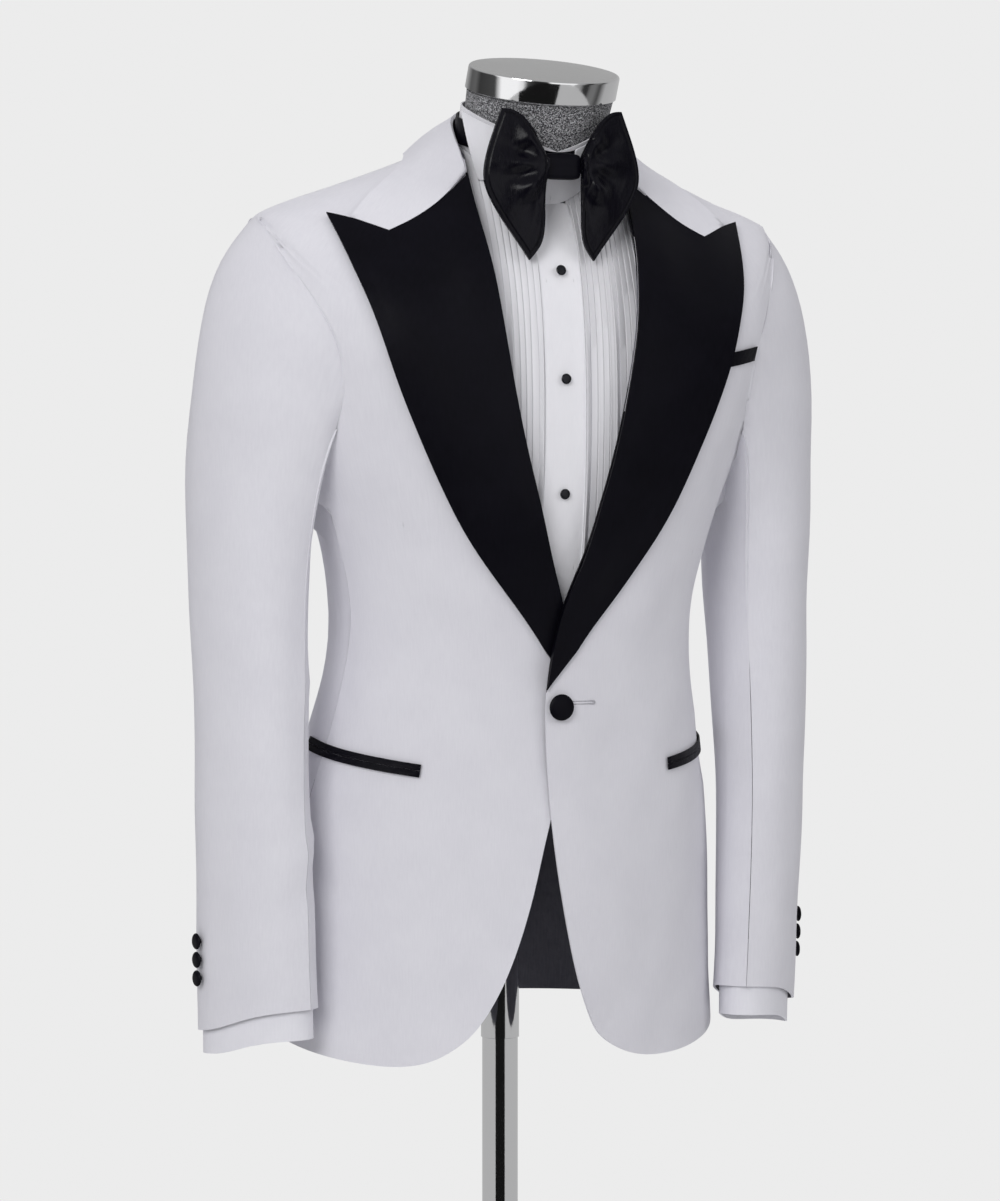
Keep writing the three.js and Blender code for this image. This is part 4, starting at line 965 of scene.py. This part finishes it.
@dataclass
class Tucks:
    """The narrow tucks pressed down the shirt's front, beside the placket."""

    side: str
    finish: Material
    ground: Object
    first: float = 17.5 * MM
    pitch: float = 5.0 * MM
    count: int = 12
    foot: float = 1.0
    rise: float = 0.95 * MM
    rows: int = 72
    lips: Point = (0.0, 0.10, 0.86)
    raised: Point = (0.05, 1.0, 0.42)
    # The rim value of each part of a tuck, which places the tucked cotton's painted shadow.
    shaded: Point = (0.0, 0.10, 0.14)
    clear: float = 0.35 * MM
    ease_run: float = 14 * MM
    ease_least: float = 0.35
    wall: float = 0.3 * MM
    length: float = 0.42
    mean_length: float = 0.30
    search: tuple[float, float] = (1.2, 1.46)
    steps: int = 14
    front_y: float = -0.04

    def build(self) -> Object:
        """Lays the tucks on the shirt's front."""
        turn = 1 if self.side == "left" else -1
        tree = BVHTree.FromObject(self.ground, bpy.context.evaluated_depsgraph_get())
        shape = bmesh.new()
        bmesh.ops.create_grid(shape, x_segments=3 * self.count, y_segments=self.rows, size=1.0)
        gone = []
        edge = shape.verts.layers.float.new("rim")
        for vert in shape.verts:
            column = round((vert.co.x + 1) / 2 * 3 * self.count)
            share = (vert.co.y + 1) / 2
            tuck, part = divmod(column, 3)
            x = self.first + self.pitch * (tuck + self.lips[part])
            vert[edge] = self.pitch * self.shaded[part]
            top = self.reach(tree, turn * x)
            z = self.foot + (top - self.foot) * share
            spot, normal, _, _ = tree.ray_cast(Vector((turn * x, FRONT_Y, z)), BACKWARD)
            if spot is None:
                gone.append(vert)
                continue
            ease = self.ease_least + (1 - self.ease_least) * min(1.0, (top - z) / self.ease_run)
            vert.co = spot + normal * (self.clear + self.rise * self.raised[part] * ease)
        bmesh.ops.delete(shape, geom=gone, context="VERTS")
        if turn < 0:
            bmesh.ops.reverse_faces(shape, faces=shape.faces[:])
        mesh = as_mesh(shape, "shirt_tucks_" + self.side)
        mesh.materials.append(self.finish)
        mesh.shade_smooth()
        mesh.set_sharp_from_angle(angle=math.radians(35))
        made = put(mesh.name, mesh)
        step = made.modifiers.new("Cloth", "SOLIDIFY")
        step.thickness = self.wall
        step.offset = 0.0
        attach(made, ROOT)
        return made

    def reach(self, tree: BVHTree, x: float) -> float:
        """The highest place that a tuck reaches on the shirt at that x."""
        low, high = self.search
        for _ in range(self.steps):
            middle = (low + high) / 2
            spot = tree.ray_cast(Vector((x, FRONT_Y, middle)), BACKWARD)[0]
            if spot is not None and spot.y < self.front_y:
                low = middle
            else:
                high = middle
        return low


@dataclass
class Shirt:
    """The tucked dress shirt under the jacket."""

    cloths: Cloths

    def build(self) -> None:
        """Builds every piece of the shirt."""
        cotton = self.cloths.cotton
        rests = ("form_torso",)
        lines = [Groove((x, -0.125, 0.96), (x, -0.125, 1.40), 0.5 * MM) for x in (-0.0115, 0.0115)]
        placket = Cloths.lined(COTTON, "Cotton placket", *lines)
        back = Cut(0.50, 0.50, 0.217, Held.DRAPED, rests)
        band = Cut(0.034, 0.445, 0.0142, Held.FOLDED, rests)
        stand = Cut(0.040, 0.40, 0.0147, Held.DRAPED, ("form_neck",))
        front = Cut(0.26, 0.50, 0.089, Held.DRAPED, rests)
        wing = Cut(0.05, 0.062, 0.0024, Held.FOLDED, ("shirt_collar_stand",))
        shared = dict(slot="shirt_cotton", folds=WAIST, wave=0.15 * MM)
        pieces = [
            Piece("shirt_back", cotton, cut=back, **shared),
            Piece("shirt_placket", placket, levels=3, seam=1.5 * MM, cut=band, **shared),
            Piece("shirt_collar_stand", cotton, core=NECK, levels=3, seam=1.9 * MM, cut=stand, **shared),
        ]
        for side, core in (("left", SLEEVE_LEFT), ("right", SLEEVE_RIGHT)):
            cuff = Cut(0.07, 0.245, 0.0153, Held.DRAPED, ("sleeve_under_" + side,))
            pieces += [
                Piece("shirt_front_" + side, cotton, seam=1.2 * MM, cut=front, **shared),
                Piece("shirt_wing_" + side, cotton, core=NECK, levels=3, cut=wing, **shared),
                Piece("shirt_cuff_" + side, self.cloths.cuff, "shirt_cotton", core=core, cut=cuff),
            ]
        for piece in pieces:
            made = piece.build()
            log.info("shirt: %s", piece.node)
            if piece.node.startswith("shirt_front"):
                Tucks(piece.node.rsplit("_", 1)[1], self.cloths.tucked, made).build()
        for n in (1, 2, 3):
            Piece(f"shirt_stud_{n}", self.cloths.stone, "stud_black", rim_turn=ROUND_TURN).build()
        log.info("shirt: studs")


@dataclass
class BowTie:
    """The big satin bow: a band round the collar, a pleated knot and two full wings."""

    cloths: Cloths
    knot_x: float = 14.6 * MM
    knot_z: float = 1.4185
    face: float = -0.1375
    far_share: float = 0.85

    def wing_folds(self, turn: int) -> list[Fold]:
        """The folds that run out of the knot into a wing."""
        root = (turn * self.knot_x, self.face, self.knot_z)
        # Each fold's far end, or both its ends, then its width and height, all in millimetres.
        ways = [
            ((40, 1458), 6.5, 3.4),
            ((60, 1442), 6.0, -3.6),
            ((68, 1422), 7.5, 4.2),
            ((60, 1404), 6.0, -3.8),
            ((50, 1376), 7.5, 3.8),
            ((28, 1362), 5.0, -2.8),
        ]
        across = [
            ((24, 1448), (46, 1428), 5.5, 2.2),
            ((28, 1436), (52, 1416), 4.5, -2.4),
            ((24, 1404), (48, 1398), 5.0, 2.6),
            ((22, 1392), (44, 1384), 4.5, -2.2),
        ]
        lean = 1.0 if turn < 0 else self.far_share
        runs = []
        for (x, z), width, height in ways:
            runs.append((root, (turn * x * MM * lean, self.face, z * MM), width, height))
        for (x0, z0), (x1, z1), width, height in across:
            start = (turn * x0 * MM * lean, self.face, z0 * MM)
            runs.append((start, (turn * x1 * MM * lean, self.face, z1 * MM), width, height * lean))
        return worn(runs)

    def knot_folds(self) -> list[Fold]:
        """The pleats that run across the knot."""
        y = self.face + 3 * MM
        runs = []
        for z, height in ((1412.5, -0.7), (1416.5, 0.6), (1420.0, -0.8), (1424.5, 0.6)):
            runs.append(((-0.016, y, z * MM), (0.016, y, (z + 1.2) * MM), 1.6, height))
        return worn(runs)

    def build(self) -> None:
        """Builds every piece of the bow."""
        bow, satin = self.cloths.bow, self.cloths.satin
        band = Cut(0.0205, 0.40, 0.0080, Held.FOLDED, ("shirt_collar_stand",))
        wing = Cut(0.060, 0.120, 0.0045, Held.GATHERED, ("bow_knot",))
        knot = Cut(0.024, 0.050, 0.0010, Held.GATHERED, ("bow_band",))
        shared = dict(slot="black_satin", core=FRONTWARD, levels=4)
        for side, turn in (("left", 1), ("right", -1)):
            Piece("bow_wing_" + side, bow, folds=self.wing_folds(turn), cut=wing, **shared).build()
        Piece("bow_knot", satin, folds=self.knot_folds(), cut=knot, **shared).build()
        Piece("bow_band", satin, "black_satin", core=NECK, levels=3, cut=band).build()
        log.info("bow tie")


@dataclass
class Cap:
    """The polished cap that closes the form's neck, brushed on top and tilted forward with the neck."""

    band: Material
    top: Material
    foot: float = 48 * MM
    tall: float = 18 * MM
    lip: float = 1.2 * MM
    lip_share: float = 0.97
    round_edge: float = 2.0 * MM
    crown: float = 1.6 * MM
    wide: float = 60.1 * MM
    deep: float = 52.8 * MM
    middle_y: float = -60 * MM
    middle_z: float = 1.43
    lean: float = 0.5
    slope: float = 0.27
    flat_share: float = 0.985

    def turned(self) -> BMesh:
        """The cap as it is turned: a round of radius one, in metres of height."""
        shape = bmesh.new()
        low, high = self.foot, self.foot + self.tall
        line = [(self.lip_share, low), (1.0, low + self.lip), (1.0, high)]
        line += [(0.5, high + 0.75 * self.crown), (0.0, high + self.crown)]
        verts = [shape.verts.new((radius, 0.0, up)) for radius, up in line]
        edges = [shape.edges.new(pair) for pair in zip(verts, verts[1:])]
        bmesh.ops.spin(
            shape, geom=verts + edges, cent=(0, 0, 0), axis=(0, 0, 1), angle=TAU, steps=96, use_merge=True
        )
        bmesh.ops.remove_doubles(shape, verts=shape.verts[:], dist=MERGE)
        return shape

    def place(self, shape: BMesh) -> None:
        """Stretches the round to the neck's oval and tilts it with the neck."""
        for vert in shape.verts:
            x, y, up = vert.co
            forward = y * self.deep
            vert.co = (
                x * self.wide,
                self.middle_y - self.lean * up + forward,
                self.middle_z + up + self.slope * forward,
            )

    def build(self) -> Object:
        """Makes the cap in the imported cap's place."""
        shape = self.turned()
        self.place(shape)
        bmesh.ops.recalc_face_normals(shape, faces=shape.faces[:])
        rim = sharp_edges(shape, math.radians(60))
        bmesh.ops.bevel(
            shape, geom=rim, offset=self.round_edge, segments=4, profile=0.5, affect="EDGES", material=-1
        )
        tilt = Vector((0, -self.slope, 1)).normalized()
        for face in shape.faces:
            face.material_index = int(face.normal.dot(tilt) > self.flat_share)
        mesh = as_mesh(shape, "neck_cap_part")
        mesh.materials.append(self.band)
        mesh.materials.append(self.top)
        mesh.shade_smooth()
        mesh.set_sharp_from_angle(angle=math.radians(30))
        made = put(mesh.name, mesh)
        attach(made, ROOT)
        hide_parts("neck_cap")
        return made


@dataclass
class DressForm:
    """The limbless form in its heather cover, its cap and its stand."""

    cloths: Cloths

    def build(self) -> None:
        """Builds the form and the stand."""
        heather, chrome = self.cloths.heather, self.cloths.chrome
        Piece("form_torso", heather, "form_fabric").build()
        Piece("form_neck", heather, "form_fabric", core=NECK).build()
        Cap(chrome, self.cloths.brushed).build()
        Piece("pole_upper", chrome, "chrome").build()
        Piece("pole_lower", chrome, "chrome").build()
        Piece("stand_base", chrome, "chrome", rim_turn=math.radians(35)).build()
        log.info("dress form and stand")


@dataclass
class Studio:
    """A pale floor, soft lights and the camera of the photograph."""

    target: Point = (0.0, 0.0, 1.078)
    azimuth: float = -22.0
    elevation: float = 2.0
    distance: float = 3.3
    lens: float = 122.66
    pale: Colour = (0.838, 0.838, 0.838)
    cove_radius: float = 1.2
    cove_top: float = 0.80
    cove_dark: float = math.radians(30)
    cove_tones: tuple[float, float] = (0.47, 0.008)
    roof: float = 0.40
    roof_rise: tuple[float, float] = (0.2, 0.6)
    haze: Colour = (0.98, 0.98, 1.0)
    haze_strength: float = 0.40
    floor_radius: float = 2.85
    floor_fade: tuple[float, float] = (0.9, 2.8)

    def camera(self) -> None:
        """Places the camera on the photograph's line of sight."""
        lens = bpy.data.cameras.new("View")
        lens.lens = self.lens
        lens.sensor_width = 36.0
        made = put("View", lens)
        round_, up = math.radians(self.azimuth), math.radians(self.elevation)
        back = Vector((math.sin(round_) * math.cos(up), -math.cos(round_) * math.cos(up), math.sin(up)))
        made.location = Vector(self.target) + back * self.distance
        made.rotation_euler = (-back).to_track_quat("-Z", "Y").to_euler()
        bpy.context.scene.camera = made

    def softbox(self, name: str, place: Point, size: float, power: float, seen: bool = True) -> None:
        """A soft square light that faces the garment, seen in the polished metal or not."""
        light = bpy.data.lights.new(name, "AREA")
        light.energy = power
        light.size = size
        made = put(name, light)
        made.location = place
        made.rotation_euler = (Vector(self.target) - Vector(place)).to_track_quat("-Z", "Y").to_euler()
        made.visible_glossy = seen

    def surround(self) -> None:
        """The studio's pale walls, seen flat, and its bright and dark bays, seen in the polished metal."""
        world = bpy.data.worlds.new("Studio")
        bpy.context.scene.world = world
        world.use_nodes = True
        sky = Nodes(world.node_tree)
        x, y, z = sky.node("SeparateXYZ", {0: sky.node("TexCoord").outputs["Generated"]}).outputs
        bays = sky.node("ValToRGB", {0: sky.spread(sky.math("ARCTAN2", x, y), -math.pi, math.pi)})
        self.paint(bays.color_ramp)
        roof = sky.blend(sky.spread(z, *self.roof_rise), bays.outputs[0], opaque((self.roof,) * 3))
        haze = sky.light(opaque(self.haze), self.haze_strength)
        rays = sky.node("LightPath").outputs
        lit = sky.either(rays["Is Glossy Ray"], haze, sky.light(roof))
        seen = sky.either(rays["Is Camera Ray"], lit, sky.light(opaque(self.pale)))
        sky.feed(sky.tree.nodes["World Output"].inputs[0], seen)

    @staticmethod
    def paint(ramp: bpy.types.ColorRamp) -> None:
        """Paints the bays round the studio, by their share of the way round."""
        bays = (
            (0.000, 0.95), (0.010, 0.95), (0.024, 0.03), (0.080, 0.02), (0.116, 0.07), (0.136, 0.80),
            (0.160, 1.00), (0.232, 1.00), (0.262, 0.06), (0.350, 0.04), (0.385, 0.12), (0.430, 0.10),
            (0.500, 0.36), (0.560, 0.36), (0.580, 0.50), (0.740, 0.42), (0.775, 0.06), (0.800, 0.17),
            (0.822, 0.16), (0.838, 0.03), (0.858, 0.04), (0.876, 0.30), (0.900, 0.40), (0.912, 0.95),
        )
        for index, (at, bright) in enumerate(bays):
            stop = ramp.elements[index] if index < 1 else ramp.elements.new(at)
            stop.position = at
            stop.color = opaque((bright,) * 3)

    def floor(self) -> None:
        """A round pale floor whose edge fades away."""
        shape = bmesh.new()
        bmesh.ops.create_circle(shape, cap_ends=True, segments=96, radius=self.floor_radius)
        mesh = as_mesh(shape, "Floor")
        made = put("Floor", mesh)
        made.location.z = -0.5 * MM
        made.visible_glossy = False
        board = Board("Floor")
        away = board.vector("LENGTH", board.place(), output="Value")
        board.finish(
            Base_Color=opaque((0.93, 0.93, 0.93)),
            Roughness=0.9,
            Specular_IOR_Level=0.1,
            Alpha=board.spread(away, *self.floor_fade, 1.0, 0.0),
        )
        mesh.materials.append(board.material)

    @staticmethod
    def glow(name: str, bright: float) -> Material:
        """A card that shines evenly."""
        board = Board(name)
        card = board.node("Emission", {"Color": opaque((bright,) * 3), "Strength": 1.0})
        board.feed(board.tree.nodes["Material Output"].inputs[0], card.outputs[0])
        return board.material

    def cove(self) -> None:
        """The low grey wall round the studio, dark behind the camera, that only polished metal sees."""
        shape = bmesh.new()
        bmesh.ops.create_circle(shape, segments=120, radius=self.cove_radius)
        grown = bmesh.ops.extrude_edge_only(shape, edges=shape.edges[:])["geom"]
        for vert in grown:
            if isinstance(vert, BMVert):
                vert.co.z = self.cove_top
        for face in shape.faces:
            centre = face.calc_center_median()
            turn = math.atan2(centre.x, -centre.y) - math.radians(self.azimuth)
            off = abs((turn + math.pi) % TAU - math.pi)
            face.material_index = int(off < self.cove_dark)
        mesh = as_mesh(shape, "Cove")
        for name, bright in zip(("Cove grey", "Cove dark"), self.cove_tones):
            mesh.materials.append(self.glow(name, bright))
        made = put("Cove", mesh)
        made.visible_camera = made.visible_diffuse = made.visible_shadow = made.visible_transmission = False

    def build(self) -> None:
        """Sets the studio up."""
        bpy.context.scene.view_settings.view_transform = "Standard"
        self.camera()
        self.surround()
        self.floor()
        self.cove()
        self.softbox("Key", (-2.1, -2.3, 2.3), 1.5, 47)
        self.softbox("Fill", (2.3, -2.4, 2.5), 1.6, 20, seen=False)
        self.softbox("Back", (0.8, 2.8, 2.3), 1.6, 30, seen=False)
        self.softbox("Top", (0.0, -0.3, 3.2), 1.6, 8, seen=False)
        log.info("studio")


def main() -> None:
    """Builds the tuxedo, its form and the studio."""
    logging.basicConfig(level=logging.INFO, format="%(message)s")
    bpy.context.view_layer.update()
    cloths = Cloths()
    Studio().build()
    DressForm(cloths).build()
    Shirt(cloths).build()
    BowTie(cloths).build()
    Jacket(cloths).build()


if __name__ == "__main__":
    main()
